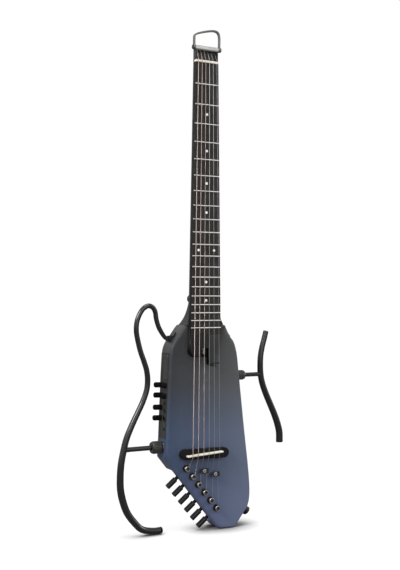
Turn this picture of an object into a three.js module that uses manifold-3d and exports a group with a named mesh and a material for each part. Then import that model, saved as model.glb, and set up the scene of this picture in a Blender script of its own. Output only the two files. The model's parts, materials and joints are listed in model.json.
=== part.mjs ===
// Travel guitar: a narrow slab body, a neck with no headstock, tuners along the slanted tail
// and two bent tube frames on sliding struts. Millimetres, +Z up, front face towards -Y.
import * as THREE from 'three';
import { mergeVertices } from 'three/addons/utils/BufferGeometryUtils.js';
import Module from 'manifold-3d';

const wasm = await Module();
wasm.setup();

// Clearances
const gap = 0.3;
const overrun = 3;
const weldDistance = 1e-4;

// Scale and strings
const scaleLength = 648;
const fretCount = 20;
const octaveFrets = 12;
const stringNames = [6, 5, 4, 3, 2, 1];
const stringDiameters = [1.3, 1.05, 0.8, 0.6, 0.45, 0.35];
const nutStringSpan = 35;
const saddleStringSpan = 51;
const clampStringInset = 1;
const clampStringSpan = nutStringSpan - 2 * clampStringInset;
const stringAction = 3.3;
const trebleCompensation = 5.5;
const bassCompensation = 8.5;

// Heights over the floor: the bridge carries the scale, and the body reaches just past the last fret
const bridgeHeight = 132;
const boardTail = 11.1;
const boardSeatLength = 15;
const nutHeight = bridgeHeight + scaleLength + (trebleCompensation + bassCompensation) / 2;
const fretZ = (fret) => nutHeight - scaleLength * (1 - 2 ** (-fret / octaveFrets));
const boardEnd = fretZ(fretCount) - boardTail;
const bodyHeight = boardEnd + boardSeatLength;

// Body
const bodyThickness = 38;
const edgeRound = 4.5;
const trebleReach = 94.7;
const bassReach = 67.5;
const slantCornerDrop = 6;
const slantRise = bridgeHeight - slantCornerDrop;
const footStart = 33.7;
const footEnd = 65;
const tipRound = 9;
const tongueRise = 11.5;

// Neck and fretboard
const nutWidth = 43;
const boardEndWidth = 56.3;
const boardThickness = 6;
const fretWidth = 2.2;
const fretRise = 0.8;
const neckDepthAtNut = 15;
const neckDepthAtHeel = 17;
const roundSquareness = 2.3;
const heelSquareness = 7;
const heelCurve = 2.2;
const heelLength = 41;
const heelStart = bodyHeight + heelLength;
const nutThickness = 3.5;
const neckTop = nutHeight + nutThickness;
const nutRise = 0.9;
const tenonWidth = 36;
const tenonThickness = 19.4;

// Planes across the depth, worked out from the thicknesses
const face = -bodyThickness / 2;
const back = bodyThickness / 2;
const boardTop = face - tongueRise;
const boardBottom = boardTop + boardThickness;
const neckFront = boardBottom + gap;

const nutStringY = boardTop - nutRise - gap;
const saddleStringY = nutStringY - stringAction + nutRise;

const materials = {
  lacquer: new THREE.MeshStandardMaterial({ color: 0x4a5270, roughness: 0.45, metalness: 0.1 }),
  charcoal: new THREE.MeshStandardMaterial({ color: 0x34363a, roughness: 0.5, metalness: 0.05 }),
  blackWood: new THREE.MeshStandardMaterial({ color: 0x1c1c1c, roughness: 0.55, metalness: 0 }),
  bone: new THREE.MeshStandardMaterial({ color: 0xe8dfc8, roughness: 0.5, metalness: 0 }),
  steel: new THREE.MeshStandardMaterial({ color: 0xb8b8b8, roughness: 0.3, metalness: 1 }),
  wound: new THREE.MeshStandardMaterial({ color: 0xa8806a, roughness: 0.4, metalness: 1 }),
  bronze: new THREE.MeshStandardMaterial({ color: 0x3a2c28, roughness: 0.4, metalness: 0.9 }),
  alloy: new THREE.MeshStandardMaterial({ color: 0xa9a9a6, roughness: 0.4, metalness: 0.8 }),
  tube: new THREE.MeshStandardMaterial({ color: 0x4b4b4b, roughness: 0.35, metalness: 0.6 }),
  plastic: new THREE.MeshStandardMaterial({ color: 0x1a1a18, roughness: 0.5, metalness: 0 }),
  rubber: new THREE.MeshStandardMaterial({ color: 0x141414, roughness: 0.8, metalness: 0 }),
  board: new THREE.MeshStandardMaterial({ color: 0x1f4a2c, roughness: 0.6, metalness: 0 }),
};

const instrument = new THREE.Group();

// Triangulating a shape passes over a corner on a straight run: the loop left open there is filled
function fillLoops(corners) {
  const onward = new Map();
  for (let i = 0; i < corners.length; i += 3) {
    for (let j = 0; j < 3; j += 1) onward.set(`${corners[i + j]} ${corners[i + ((j + 1) % 3)]}`, true);
  }
  const open = new Map();
  for (const edge of onward.keys()) {
    const [from, to] = edge.split(' ').map(Number);
    if (!onward.has(`${to} ${from}`)) open.set(to, from);
  }
  while (open.size > 0) {
    const [start] = open.keys();
    const loop = [];
    for (let corner = start; open.has(corner);) {
      const next = open.get(corner);
      open.delete(corner);
      loop.push(corner);
      corner = next;
    }
    for (let k = 1; k + 1 < loop.length; k += 1) corners.push(loop[0], loop[k], loop[k + 1]);
  }
}

// Closed geometry: shared corners merged, empty triangles dropped, faces turned outwards.
// What a boolean gave is closed already.
function closed(geometry) {
  if (geometry.userData.welded) return geometry;
  const bare = geometry.index ? geometry.toNonIndexed() : geometry.clone();
  bare.deleteAttribute('normal');
  bare.deleteAttribute('uv');
  const merged = mergeVertices(bare, weldDistance);
  const corners = merged.index.array;
  const kept = [];
  for (let i = 0; i < corners.length; i += 3) {
    const [p, q, r] = [corners[i], corners[i + 1], corners[i + 2]];
    if (p !== q && q !== r && r !== p) kept.push(p, q, r);
  }
  fillLoops(kept);
  if (volumeOf(merged.attributes.position, kept) < 0) kept.reverse();
  merged.setIndex(kept);
  return merged;
}

function volumeOf(place, corners) {
  const [a, b, c] = [new THREE.Vector3(), new THREE.Vector3(), new THREE.Vector3()];
  let volume = 0;
  for (let i = 0; i < corners.length; i += 3) {
    a.fromBufferAttribute(place, corners[i]);
    b.fromBufferAttribute(place, corners[i + 1]);
    c.fromBufferAttribute(place, corners[i + 2]);
    volume += a.dot(b.cross(c));
  }
  return volume;
}

function solid(geometry) {
  const body = closed(geometry);
  return new wasm.Manifold(new wasm.Mesh({
    numProp: 3,
    vertProperties: new Float32Array(body.attributes.position.array),
    triVerts: new Uint32Array(body.index.array),
  }));
}

function geometryOf(manifold) {
  const mesh = manifold.getMesh();
  const geometry = new THREE.BufferGeometry();
  geometry.setAttribute('position', new THREE.BufferAttribute(new Float32Array(mesh.vertProperties), 3));
  geometry.setIndex(new THREE.BufferAttribute(new Uint32Array(mesh.triVerts), 1));
  geometry.userData.welded = true;
  return geometry;
}

const join = (...pieces) => geometryOf(pieces.map(solid).reduce((sum, piece) => sum.add(piece)));
const meet = (...pieces) => geometryOf(pieces.map(solid).reduce((sum, piece) => sum.intersect(piece)));
const cut = (piece, ...tools) => geometryOf(
  tools.map(solid).reduce((rest, tool) => rest.subtract(tool), solid(piece)),
);

// Box between two values on each axis
function block([x0, x1], [y0, y1], [z0, z1]) {
  const geometry = new THREE.BoxGeometry(x1 - x0, y1 - y0, z1 - z0);
  return geometry.translate((x0 + x1) / 2, (y0 + y1) / 2, (z0 + z1) / 2);
}

// Profile of [radius, height] pairs turned about the line from origin along direction
function revolve(profile, origin, direction, sides = 12) {
  const geometry = new THREE.LatheGeometry(profile.map(([r, h]) => new THREE.Vector2(r, h)), sides);
  const up = new THREE.Vector3(0, 1, 0);
  geometry.applyQuaternion(new THREE.Quaternion().setFromUnitVectors(up, direction.clone().normalize()));
  return geometry.translate(origin.x, origin.y, origin.z);
}

const rod = (radius, origin, direction, length, sides = 12) => revolve(
  [[0, 0], [radius, 0], [radius, length], [0, length]], origin, direction, sides,
);

// Shape drawn in x and z, filled from yFront to yBack, with rounded edges if asked
function plate(shape, [yFront, yBack], roundover = 0, steps = 3, curveSegments = 6) {
  const geometry = new THREE.ExtrudeGeometry(shape, {
    depth: yBack - yFront - 2 * roundover,
    bevelEnabled: roundover > 0,
    bevelThickness: roundover,
    bevelSize: roundover,
    bevelOffset: -roundover,
    bevelSegments: steps,
    curveSegments,
  });
  return geometry.rotateX(Math.PI / 2).translate(0, yBack - roundover, 0);
}

// Body through rings of points with the same count, flat at both ends
function loft(rings) {
  const sides = rings[0].length;
  const positions = rings.flat().flatMap((point) => [point.x, point.y, point.z]);
  const index = [];
  for (let ring = 0; ring + 1 < rings.length; ring += 1) {
    for (let side = 0; side < sides; side += 1) {
      const here = ring * sides + side;
      const next = ring * sides + ((side + 1) % sides);
      index.push(here, next, next + sides, here, next + sides, here + sides);
    }
  }
  const last = (rings.length - 1) * sides;
  for (let side = 1; side + 1 < sides; side += 1) {
    index.push(0, side + 1, side, last, last + side, last + side + 1);
  }
  const geometry = new THREE.BufferGeometry();
  geometry.setAttribute('position', new THREE.Float32BufferAttribute(positions, 3));
  geometry.setIndex(index);
  return geometry;
}

// Tube along a path whose radius follows its own function of the share of the length
function taperedTube(curve, radiusAt, rings, sides = 8, sideways = new THREE.Vector3(0, 1, 0)) {
  const sections = [];
  for (let step = 0; step <= rings; step += 1) {
    const share = step / rings;
    const centre = curve.getPointAt(share);
    const along = curve.getTangentAt(share);
    const across = new THREE.Vector3().crossVectors(along, sideways).normalize();
    const up = new THREE.Vector3().crossVectors(across, along).normalize();
    const section = [];
    for (let side = 0; side < sides; side += 1) {
      const angle = (2 * Math.PI * (side + 0.5)) / sides;
      section.push(centre.clone()
        .addScaledVector(across, radiusAt(share) * Math.cos(angle))
        .addScaledVector(up, radiusAt(share) * Math.sin(angle)));
    }
    sections.push(section);
  }
  return loft(sections);
}

const blend = (from, to, share) => from + (to - from) * share;
const smooth = (share) => {
  const held = Math.min(1, Math.max(0, share));
  return held * held * (3 - 2 * held);
};
const at = (x, y, z) => new THREE.Vector3(x, y, z);
const left = at(-1, 0, 0);
const right = at(1, 0, 0);
const forward = at(0, -1, 0);
const rearward = at(0, 1, 0);

function add(name, geometry, material, place = at(0, 0, 0), parent = instrument) {
  const body = closed(geometry);
  body.computeVertexNormals();
  const mesh = new THREE.Mesh(body, material);
  mesh.name = name;
  mesh.position.copy(place);
  parent.add(mesh);
  return mesh;
}

// A frame of its own: a group at a place, turned about Y
function turnedGroup(place, angle) {
  const group = new THREE.Group();
  group.position.copy(place);
  group.rotation.y = angle;
  group.updateMatrix();
  instrument.add(group);
  return group;
}

const carried = (geometry, group) => geometry.clone().applyMatrix4(group.matrix);

const boardFall = nutHeight - fretZ(fretCount);
const boardWidthAt = (z) => blend(nutWidth, boardEndWidth, (nutHeight - z) / boardFall);

// Slanted tail edge: its own frame starts at the upper corner, X along the edge, Z into the body
const slantRun = bassReach + footStart;
const slantAngle = Math.atan2(slantRise, slantRun);
const slantLength = Math.hypot(slantRise, slantRun);
const tail = turnedGroup(at(-bassReach, 0, slantRise), slantAngle);

// Bass side wall: the control panel's frame, X into the body, Z up along the wall
const panelStart = 33;
const panelPastWall = 3;
const wallTopShare = 0.8559;
const wallLeanShare = 0.0919;
const wallRise = wallTopShare * bodyHeight - slantRise;
const wallLean = wallLeanShare * bassReach;
const panelBottom = slantRise + panelStart;
const panelHeight = wallRise - panelStart + panelPastWall;
const panelTilt = Math.atan2(wallLean, wallRise);
const panelMiddle = panelBottom + panelHeight / 2;
const panelX = -bassReach + ((panelMiddle - slantRise) * wallLean) / wallRise;
const side = turnedGroup(at(panelX, 0, panelMiddle), panelTilt);

// Outline of the body, as shares of its reach and height
const trebleShares = [
  [0.39, 1], [0.5, 0.963], [0.632, 0.925], [0.688, 0.89], [0.727, 0.843], [0.755, 0.776],
  [0.8, 0.675], [0.88, 0.483], [0.959, 0.315], [0.998, 0.205], [0.996, 0.135], [0.947, 0.088],
];
const bassShares = [
  [0.985, 0.407], [0.925, 0.726], [0.908, 0.792], [0.89, 0.855], [0.853, 0.893], [0.776, 0.923],
  [0.68, 0.947], [0.542, 0.984], [0.47, 1],
];

function bodyShape(top) {
  const treble = trebleShares.map(([x, z]) => new THREE.Vector2(x * trebleReach, z * top));
  const bass = bassShares.map(([x, z]) => new THREE.Vector2(-x * bassReach, z * top));
  const shape = new THREE.Shape();
  shape.moveTo(treble[0].x, treble[0].y);
  shape.splineThru(treble.slice(1));
  shape.lineTo(footEnd, 0);
  shape.lineTo(footStart + tipRound, 0);
  shape.quadraticCurveTo(
    footStart,
    0,
    footStart - tipRound * Math.cos(slantAngle),
    tipRound * Math.sin(slantAngle),
  );
  shape.lineTo(-bassReach, slantRise);
  shape.lineTo(bass[0].x, bass[0].y);
  shape.splineThru(bass.slice(1));
  shape.closePath();
  return shape;
}

// Tongue and ramp: the surface under the strings stays at fretboard level and fades into the face
const tongueHalf = boardEndWidth / 2;
const tongueLowDrop = 50;
const tongueStepDrop = 36.7;
const notchDrop = 23.3;
const tongueLow = boardEnd - tongueLowDrop;
const tongueStep = boardEnd - tongueStepDrop;
const tongueCorner = 12;
const tongueRound = 1.2;
const notchLeft = -8.4;
const notchRight = 7.5;
const notchTop = boardEnd - notchDrop;
const rampReach = 62;
const rampFootReach = 33;

function rampHeight(x, z) {
  const climb = Math.min(1, Math.max(0, (z - tongueLow) / (bodyHeight - tongueLow)));
  const start = blend(notchRight, tongueHalf, climb);
  const end = blend(rampFootReach, rampReach, climb);
  return tongueRise * (1 - smooth((x - start) / (end - start)));
}

function tongueGeometry() {
  const columns = 12;
  const rows = 12;
  const low = tongueLow - overrun;
  const high = bodyHeight + overrun;
  const surface = [];
  for (let row = 0; row <= rows; row += 1) {
    const z = blend(low, high, row / rows);
    const line = [at(-tongueHalf - overrun, boardTop, z)];
    for (let column = 0; column <= columns; column += 1) {
      const climb = Math.min(1, Math.max(0, (z - tongueLow) / (bodyHeight - tongueLow)));
      const x = blend(
        blend(notchRight, tongueHalf, climb),
        blend(rampFootReach, rampReach, climb),
        column / columns,
      );
      line.push(at(x, face - rampHeight(x, z), z));
    }
    surface.push(line);
  }
  const floor = face + edgeRound;
  const rings = surface.map((line) => [
    ...line,
    at(line.at(-1).x, floor, line[0].z),
    at(-tongueHalf - overrun, floor, line[0].z),
  ]);
  return fannedLoft(rings);
}

// Loft for sections that are not convex: each end is filled from the last corner of its section
function fannedLoft(rings) {
  const sides = rings[0].length;
  const geometry = loft(rings);
  const walls = 6 * sides * (rings.length - 1);
  const index = Array.from(geometry.index.array).slice(0, walls);
  const last = (rings.length - 1) * sides;
  const hub = sides - 1;
  for (let corner = 0; corner + 2 < sides; corner += 1) {
    index.push(hub, corner + 1, corner, last + hub, last + corner, last + corner + 1);
  }
  geometry.setIndex(index);
  return geometry;
}

function tongueShape() {
  const shape = new THREE.Shape();
  const high = bodyHeight + overrun;
  shape.moveTo(-tongueHalf, high);
  shape.lineTo(-tongueHalf, tongueStep + tongueCorner);
  shape.absarc(-tongueHalf + tongueCorner, tongueStep + tongueCorner, tongueCorner, Math.PI, 1.5 * Math.PI);
  shape.lineTo(notchRight, tongueStep);
  shape.lineTo(notchRight, tongueLow);
  shape.lineTo(trebleReach, tongueLow);
  shape.lineTo(trebleReach, high);
  shape.closePath();
  return shape;
}

// Tuners along the tail
const tunerCount = 6;
const tunerPitchShare = 0.11342;
const firstPostShare = 0.22647;
const tunerPitch = tunerPitchShare * slantLength;
const firstPostAlong = firstPostShare * slantLength;
const postInset = 18.25;
const lipThickness = 8.5;
const lipBack = face + lipThickness;
const rebateLead = 9.5;
const rebateStart = firstPostAlong - rebateLead;
const rebateEndMargin = 6;
const rebateEndSlope = 2;
const rebateEndRise = 12.3;
const railInset = 2.4;
const railDepth = 24.6;
const railThickness = 14;
const rebateDepth = railInset + railDepth + gap;
const postRadius = 3;
const postGrooveRadius = 2.7;
const postCapRadius = 4.4;
const postCapRise = 7.5;
const postCapThickness = 2;
const postCapRound = 0.6;
const postWellRadius = 1.9;
const postSlot = 1.2;
const postTail = 3;
const bushingRadius = 4.6;
const flangeRadius = 6.2;
const flangeThickness = 1.5;
const wormOffset = 8;
const wormEndWall = 2;
const knobShaftRadius = 3;
const knobRadius = 4.75;
const knobLength = 19.4;
const knobStandoff = 3.4;
const knobEndRound = 0.8;

const railTop = lipBack + gap;
const railBottom = railTop + railThickness;
const railStart = rebateStart + gap;
const railTail = 4;
const railEnd = firstPostAlong + (tunerCount - 1) * tunerPitch + wormOffset + knobRadius + railTail;
const rebateEnd = railEnd + rebateEndMargin;
const knobInset = 6.7;
const knobAxisY = railTop + knobInset;
const grooveTop = face - postCapRise + postCapThickness;
const flangeTop = face - gap - flangeThickness;
const grooveLow = flangeTop - gap;
const postPlace = (k, y) => at(firstPostAlong + k * tunerPitch, y, postInset);
const wormPlace = (k) => at(firstPostAlong + k * tunerPitch + wormOffset, knobAxisY, 0);

function rebateGeometry() {
  const shape = new THREE.Shape();
  shape.moveTo(rebateStart, -overrun);
  shape.lineTo(rebateStart, rebateDepth);
  shape.lineTo(rebateEnd - rebateEndSlope, rebateDepth);
  shape.lineTo(rebateEnd - rebateEndSlope, rebateEndRise);
  shape.lineTo(rebateEnd, 0);
  shape.lineTo(rebateEnd, -overrun);
  shape.closePath();
  return carried(plate(shape, [lipBack, back + overrun]), tail);
}

// Electronics bay behind the control panel
const panelFrontMargin = 5;
const panelBackMargin = 6.5;
const panelFront = face + panelFrontMargin;
const panelBack = back - panelBackMargin;
const panelThickness = 3;
const panelLedge = 2;
const bayDepth = 53;
const bayBottomMargin = 5;
const bayTopMargin = 3;
const coverThickness = 2.4;
const coverMargin = 3;
const coverWidth = 46;
const coverInset = 4;
const halfPanel = panelHeight / 2;

const bayRange = {
  x: [panelThickness + panelLedge, bayDepth],
  y: [panelFront + panelLedge / 2, back - coverThickness],
  z: [-halfPanel + bayBottomMargin, halfPanel - bayTopMargin],
};

function bayGeometry() {
  const mouth = block(
    [-overrun, panelThickness + gap],
    [panelFront - gap, panelBack + gap],
    [-halfPanel - gap, halfPanel + gap],
  );
  const throat = block(
    [0, bayRange.x[0] + overrun],
    [panelFront + panelLedge / 2, panelBack - panelLedge / 2],
    bayRange.z,
  );
  const room = block(bayRange.x, bayRange.y, bayRange.z);
  const coverSeat = block(
    [bayRange.x[0] - coverMargin + gap, bayRange.x[1] + coverMargin],
    [back - coverThickness - gap, back + overrun],
    [bayRange.z[0] - coverMargin, bayRange.z[1] + coverMargin],
  );
  return carried(join(join(mouth, throat), join(room, coverSeat)), side);
}

// Frames: bent tubes in the plane of the body
const frameCentreline = 0;
const leftFrameStandoff = 73;
const leftFrameReach = bassReach + leftFrameStandoff;
const leftFrameTopShare = 1.0937;
const leftFrameHeight = leftFrameTopShare * bodyHeight;
const leftFrameShares = [
  [0.402, 0.8545], [0.43, 0.8585], [0.463, 0.8725], [0.518, 0.9057], [0.551, 0.942], [0.567, 0.9744],
  [0.595, 0.9913], [0.648, 1], [0.712, 0.9897], [0.764, 0.9647], [0.801, 0.9288], [0.8065, 0.8888],
  [0.789, 0.853], [0.752, 0.802], [0.708, 0.7589], [0.675, 0.7223], [0.659, 0.6785], [0.669, 0.6356],
  [0.716, 0.586], [0.778, 0.5399], [0.859, 0.4817], [0.927, 0.4237], [0.962, 0.3731], [0.99, 0.3181],
  [1, 0.2593], [0.994, 0.2071], [0.964, 0.1586], [0.911, 0.1088], [0.816, 0.0614], [0.722, 0.0292],
];
const leftFrameEnd = 69.4;
const leftTopRadius = 4;
const leftWaistRadius = 4.8;
const leftBendRadius = 6.1;
const leftEndRadius = 5.4;
const leftPegRadius = 3.3;
const leftTopShare = 0.04;
const leftWaistShare = 0.5;
const leftBendShare = 0.8;
const leftStrutEndShare = 0.957;
const endRise = leftEndRadius + 2 * gap;
const capLength = 4;

const rightFrameStandoff = 71;
const rightFrameReach = trebleReach + rightFrameStandoff;
const rightFrameTopShare = 0.9643;
const rightFrameHeight = rightFrameTopShare * bodyHeight;
const rightFrameShares = [
  [0.824, 1], [0.803, 0.961], [0.777, 0.917], [0.758, 0.869], [0.754, 0.821], [0.759, 0.773],
  [0.78, 0.725], [0.823, 0.671], [0.875, 0.617], [0.927, 0.563], [0.971, 0.509], [0.997, 0.459],
  [1, 0.406],
];
const rightTopRadius = 4.8;
const rightLowRadius = 6.2;
const rightStrutEndShare = 0.757;

const leftStrutRadius = 4;
const leftStrutRise = 18.2;
const leftStrutHeight = slantRise + leftStrutRise;
const leftStrutInside = 42;
const rightStrutRadius = 3.75;
const rightStrutShare = 0.745;
const rightStrutHeight = rightStrutShare * bodyHeight;
const rightStrutInside = 34;

const leftWallX = -bassReach + ((leftStrutHeight - slantRise) * wallLean) / wallRise;
const rightWallShare = 0.7666;
const rightWallX = rightWallShare * trebleReach;

const leftCollarRadius = 10.5;
const leftCollarLength = 17.5;
const leftFerruleRadius = 10;
const rightCollarRadius = 8.5;
const rightCollarLength = 17.5;
const rightFerruleRadius = 8;
const ferruleDepth = 9;
const ferruleRise = 0.7;
const collarInnerShare = 0.86;
const collarTipShare = 0.88;
const collarFullStartShare = 0.1;
const collarFullEndShare = 0.86;

function framePoints(shares, reach, height) {
  return shares.map(([x, z]) => at(x * reach, frameCentreline, z * height));
}

function leftFrameCurve() {
  const points = framePoints(leftFrameShares, -leftFrameReach, leftFrameHeight);
  points.push(at(-leftFrameEnd - 2 * leftEndRadius, frameCentreline, endRise));
  points.push(at(-leftFrameEnd, frameCentreline, endRise));
  return new THREE.CatmullRomCurve3(points, false, 'centripetal');
}

function leftRadiusAt(share) {
  const stops = [
    [0, leftPegRadius], [leftTopShare, leftTopRadius], [leftWaistShare, leftWaistRadius],
    [leftBendShare, leftBendRadius], [1, leftEndRadius],
  ];
  const next = Math.max(1, stops.findIndex(([reached]) => share <= reached));
  const [[start, before], [end, after]] = [stops[next - 1], stops[next]];
  return blend(before, after, (share - start) / (end - start));
}

// Ring round a line along X, from its inner face outwards, with a bore and ribs
function collar(bore, radius, length, outward, ribs) {
  return revolve([
    [bore, 0], [radius * collarInnerShare, 0], [radius, length * collarFullStartShare],
    [radius, length * collarFullEndShare], [radius * collarTipShare, length], [bore, length], [bore, 0],
  ], at(0, 0, 0), outward, ribs);
}

// Neck
const trussInset = 2.2;
const trussStop = 17;
const truss = {
  radius: 2,
  y: neckFront + trussInset,
  top: nutHeight - trussStop,
  nutRadius: 2.5,
  nutLength: 8.5,
};
const trussSlotHalf = truss.radius + gap;
const trussFloor = truss.y + truss.radius + gap;
const tenonFront = trussFloor + gap;
const tenonBottom = panelBottom + panelHeight;

function neckSection(z, halfLeft, halfRight, depth, squareness) {
  const steps = 12;
  const section = [];
  for (let step = 0; step <= steps; step += 1) {
    const angle = (Math.PI * step) / steps;
    const across = Math.sign(Math.cos(angle)) * Math.abs(Math.cos(angle)) ** (2 / squareness);
    const half = across > 0 ? halfRight : halfLeft;
    section.push(at(across * half, neckFront + depth * Math.sin(angle) ** (2 / squareness), z));
  }
  return section;
}

function neckGeometry() {
  const rings = [];
  const heelSteps = 8;
  const bottomLeft = bassShares.at(-1)[0] * bassReach;
  const bottomRight = trebleShares[0][0] * trebleReach;
  for (const z of [neckTop, heelStart]) {
    const share = (neckTop - z) / (neckTop - heelStart);
    const half = boardWidthAt(z) / 2;
    rings.push(neckSection(z, half, half, blend(neckDepthAtNut, neckDepthAtHeel, share), roundSquareness));
  }
  const heelEnd = bodyHeight + gap;
  for (let step = 1; step <= heelSteps; step += 1) {
    const share = step / heelSteps;
    const z = blend(heelStart, heelEnd, share);
    const half = boardWidthAt(z) / 2;
    rings.push(neckSection(
      z,
      blend(half, bottomLeft, share ** 3),
      blend(half, bottomRight, share ** 3),
      blend(neckDepthAtHeel, back - neckFront, share ** heelCurve),
      blend(roundSquareness, heelSquareness, share),
    ));
  }
  const tenon = block(
    [-tenonWidth / 2, tenonWidth / 2],
    [tenonFront, tenonFront + tenonThickness],
    [tenonBottom, bodyHeight + overrun],
  );
  const slot = block(
    [-trussSlotHalf, trussSlotHalf],
    [neckFront - overrun, trussFloor],
    [tenonBottom - overrun, truss.top],
  );
  return cut(join(loft(rings), tenon), slot, screwBore(upperButton));
}

// Strap buttons, each a turned mushroom with its wood screw
const upperButtonX = -10;
const upperButtonRise = 3;
const upperButton = {
  place: at(upperButtonX, neckFront + neckDepthAtHeel + gap, heelStart + upperButtonRise),
  direction: rearward,
};
const lowerCorner = at(trebleShares.at(-1)[0] * trebleReach, 0, trebleShares.at(-1)[1] * bodyHeight);
const lowerEdge = at(footEnd, 0, 0).sub(lowerCorner).normalize();
const lowerButtonSetback = 2.5;
const lowerButton = {
  place: lowerCorner.clone().addScaledVector(lowerEdge, lowerButtonSetback),
  direction: at(-lowerEdge.z, 0, lowerEdge.x),
};
const buttonHeight = 13.5;
const buttonBase = 5;
const buttonRim = 1.2;
const buttonRound = 0.6;
const buttonWaist = 3.6;
const buttonHead = 7.6;
const buttonHeadThickness = 3.2;
const buttonScrew = 1.8;
const buttonScrewLength = 9;

function screwBore({ place, direction }) {
  const bottom = place.clone().addScaledVector(direction, -buttonScrewLength - gap);
  return rod(buttonScrew + gap, bottom, direction, buttonScrewLength + overrun);
}

function buttonGeometry() {
  const neckRise = buttonHeight - buttonHeadThickness;
  return revolve([
    [0, -buttonScrewLength], [buttonScrew, -buttonScrewLength + buttonScrew], [buttonScrew, gap],
    [buttonBase, gap], [buttonBase, buttonRim], [buttonWaist, neckRise / 2],
    [buttonHead, neckRise], [buttonHead, buttonHeight - buttonRound],
    [buttonHead - buttonRound, buttonHeight], [0, buttonHeight],
  ], at(0, 0, 0), rearward, 16);
}

// Shoulder socket: a block in the bass shoulder that takes the peg of the left frame
const socketSize = 10;
const pegReach = 5.99;
const socketPlace = at(
  pegReach - leftFrameShares[0][0] * leftFrameReach,
  frameCentreline,
  leftFrameShares[0][1] * leftFrameHeight,
);
const socketFloor = 1;
const socketLipLength = 13;
const socketLipWidth = 8;
const socketLipThickness = 2;
const shoulderAngle = 0.93;

function shoulderSocketGeometry(grow) {
  const half = socketSize / 2 + grow;
  const seat = block([-half, half], [-half, half], [-half, half]);
  const lip = block(
    [0, socketLipLength + grow],
    [-socketLipWidth / 2 - grow, socketLipWidth / 2 + grow],
    [-socketLipThickness / 2 - grow, socketLipThickness / 2 + grow],
  ).rotateY(-shoulderAngle);
  return join(seat, lip);
}

function bodyGeometry() {
  const shape = bodyShape(bodyHeight);
  const slab = plate(shape, [face, back], edgeRound);
  const raised = meet(
    plate(shape, [boardTop, face + 2 * edgeRound], tongueRound, 1),
    tongueGeometry(),
    plate(tongueShape(), [boardTop - overrun, back]),
  );
  const boardSeat = block(
    [-tongueHalf - overrun, tongueHalf + gap],
    [boardTop - overrun, boardBottom + gap],
    [boardEnd - gap, bodyHeight + overrun],
  );
  const mortise = block(
    [-tenonWidth / 2 - gap, tenonWidth / 2 + gap],
    [tenonFront - gap, tenonFront + tenonThickness + gap],
    [tenonBottom - gap, bodyHeight + overrun],
  );
  const trussNotch = block(
    [notchLeft, notchRight],
    [boardTop - overrun, face + gap],
    [tongueStep - overrun, notchTop],
  );
  const trussBore = block(
    [-trussSlotHalf, trussSlotHalf],
    [boardBottom + gap, trussFloor],
    [notchTop - overrun, bodyHeight + overrun],
  );
  const bushingBores = [];
  for (let k = 0; k < tunerCount; k += 1) {
    bushingBores.push(carried(
      rod(bushingRadius + gap, postPlace(k, face - overrun), rearward, lipThickness + 2 * overrun),
      tail,
    ));
  }
  const leftBore = rod(
    leftStrutRadius + gap,
    at(leftWallX - overrun, frameCentreline, leftStrutHeight),
    right,
    leftStrutInside + overrun,
  );
  const leftSeat = rod(
    leftFerruleRadius + gap,
    at(leftWallX - overrun, frameCentreline, leftStrutHeight),
    right,
    ferruleDepth + overrun,
    16,
  );
  const rightBore = rod(
    rightStrutRadius + gap,
    at(rightWallX + overrun, frameCentreline, rightStrutHeight),
    left,
    rightStrutInside + overrun,
  );
  const rightSeat = rod(
    rightFerruleRadius + gap,
    at(rightWallX + overrun, frameCentreline, rightStrutHeight),
    left,
    ferruleDepth + overrun,
    16,
  );
  const socketSeat = shoulderSocketGeometry(gap).translate(socketPlace.x, socketPlace.y, socketPlace.z);
  return cut(
    join(slab, raised),
    boardSeat, mortise, trussNotch, trussBore, rebateGeometry(), bayGeometry(),
    leftBore, leftSeat, rightBore, rightSeat, socketSeat, screwBore(lowerButton),
    ...bushingBores,
  );
}

add('body', bodyGeometry(), materials.lacquer);
add('neck', neckGeometry(), materials.charcoal);

// Back cover
add('back_cover', block(
  [bayRange.x[0] - coverMargin + 2 * gap, bayRange.x[1] + coverMargin - gap],
  [back - coverThickness, back],
  [bayRange.z[0] - coverMargin + gap, bayRange.z[1] + coverMargin - gap],
), materials.plastic, at(0, 0, 0), side);

// Fretboard with its frets
function fretboardGeometry() {
  const top = nutHeight - gap;
  const shape = new THREE.Shape();
  const half = (z) => boardWidthAt(z) / 2;
  const lowHalf = tongueHalf;
  shape.moveTo(-half(top), top);
  shape.lineTo(-lowHalf, fretZ(fretCount));
  shape.lineTo(-lowHalf, boardEnd);
  shape.lineTo(lowHalf, boardEnd);
  shape.lineTo(lowHalf, fretZ(fretCount));
  shape.lineTo(half(top), top);
  shape.closePath();
  const frets = [];
  for (let fret = 1; fret <= fretCount; fret += 1) {
    const z = fretZ(fret);
    const width = boardWidthAt(z) / 2 - gap;
    frets.push(block(
      [-width, width],
      [boardTop - fretRise, boardTop + fretRise],
      [z - fretWidth / 2, z + fretWidth / 2],
    ));
  }
  return join(plate(shape, [boardTop, boardBottom]), ...frets);
}
add('fretboard', fretboardGeometry(), materials.blackWood);

add('nut', block(
  [-nutWidth / 2, nutWidth / 2],
  [boardTop - nutRise, boardBottom],
  [nutHeight, neckTop],
), materials.bone);

add('truss_rod', rod(truss.radius, at(0, 0, 0), at(0, 0, 1), truss.top - gap - notchTop), materials.steel,
  at(0, truss.y, notchTop));
add('truss_nut', rod(truss.nutRadius, at(0, 0, 0), at(0, 0, -1), truss.nutLength, 6), materials.steel,
  at(0, truss.y, notchTop - gap));

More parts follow.
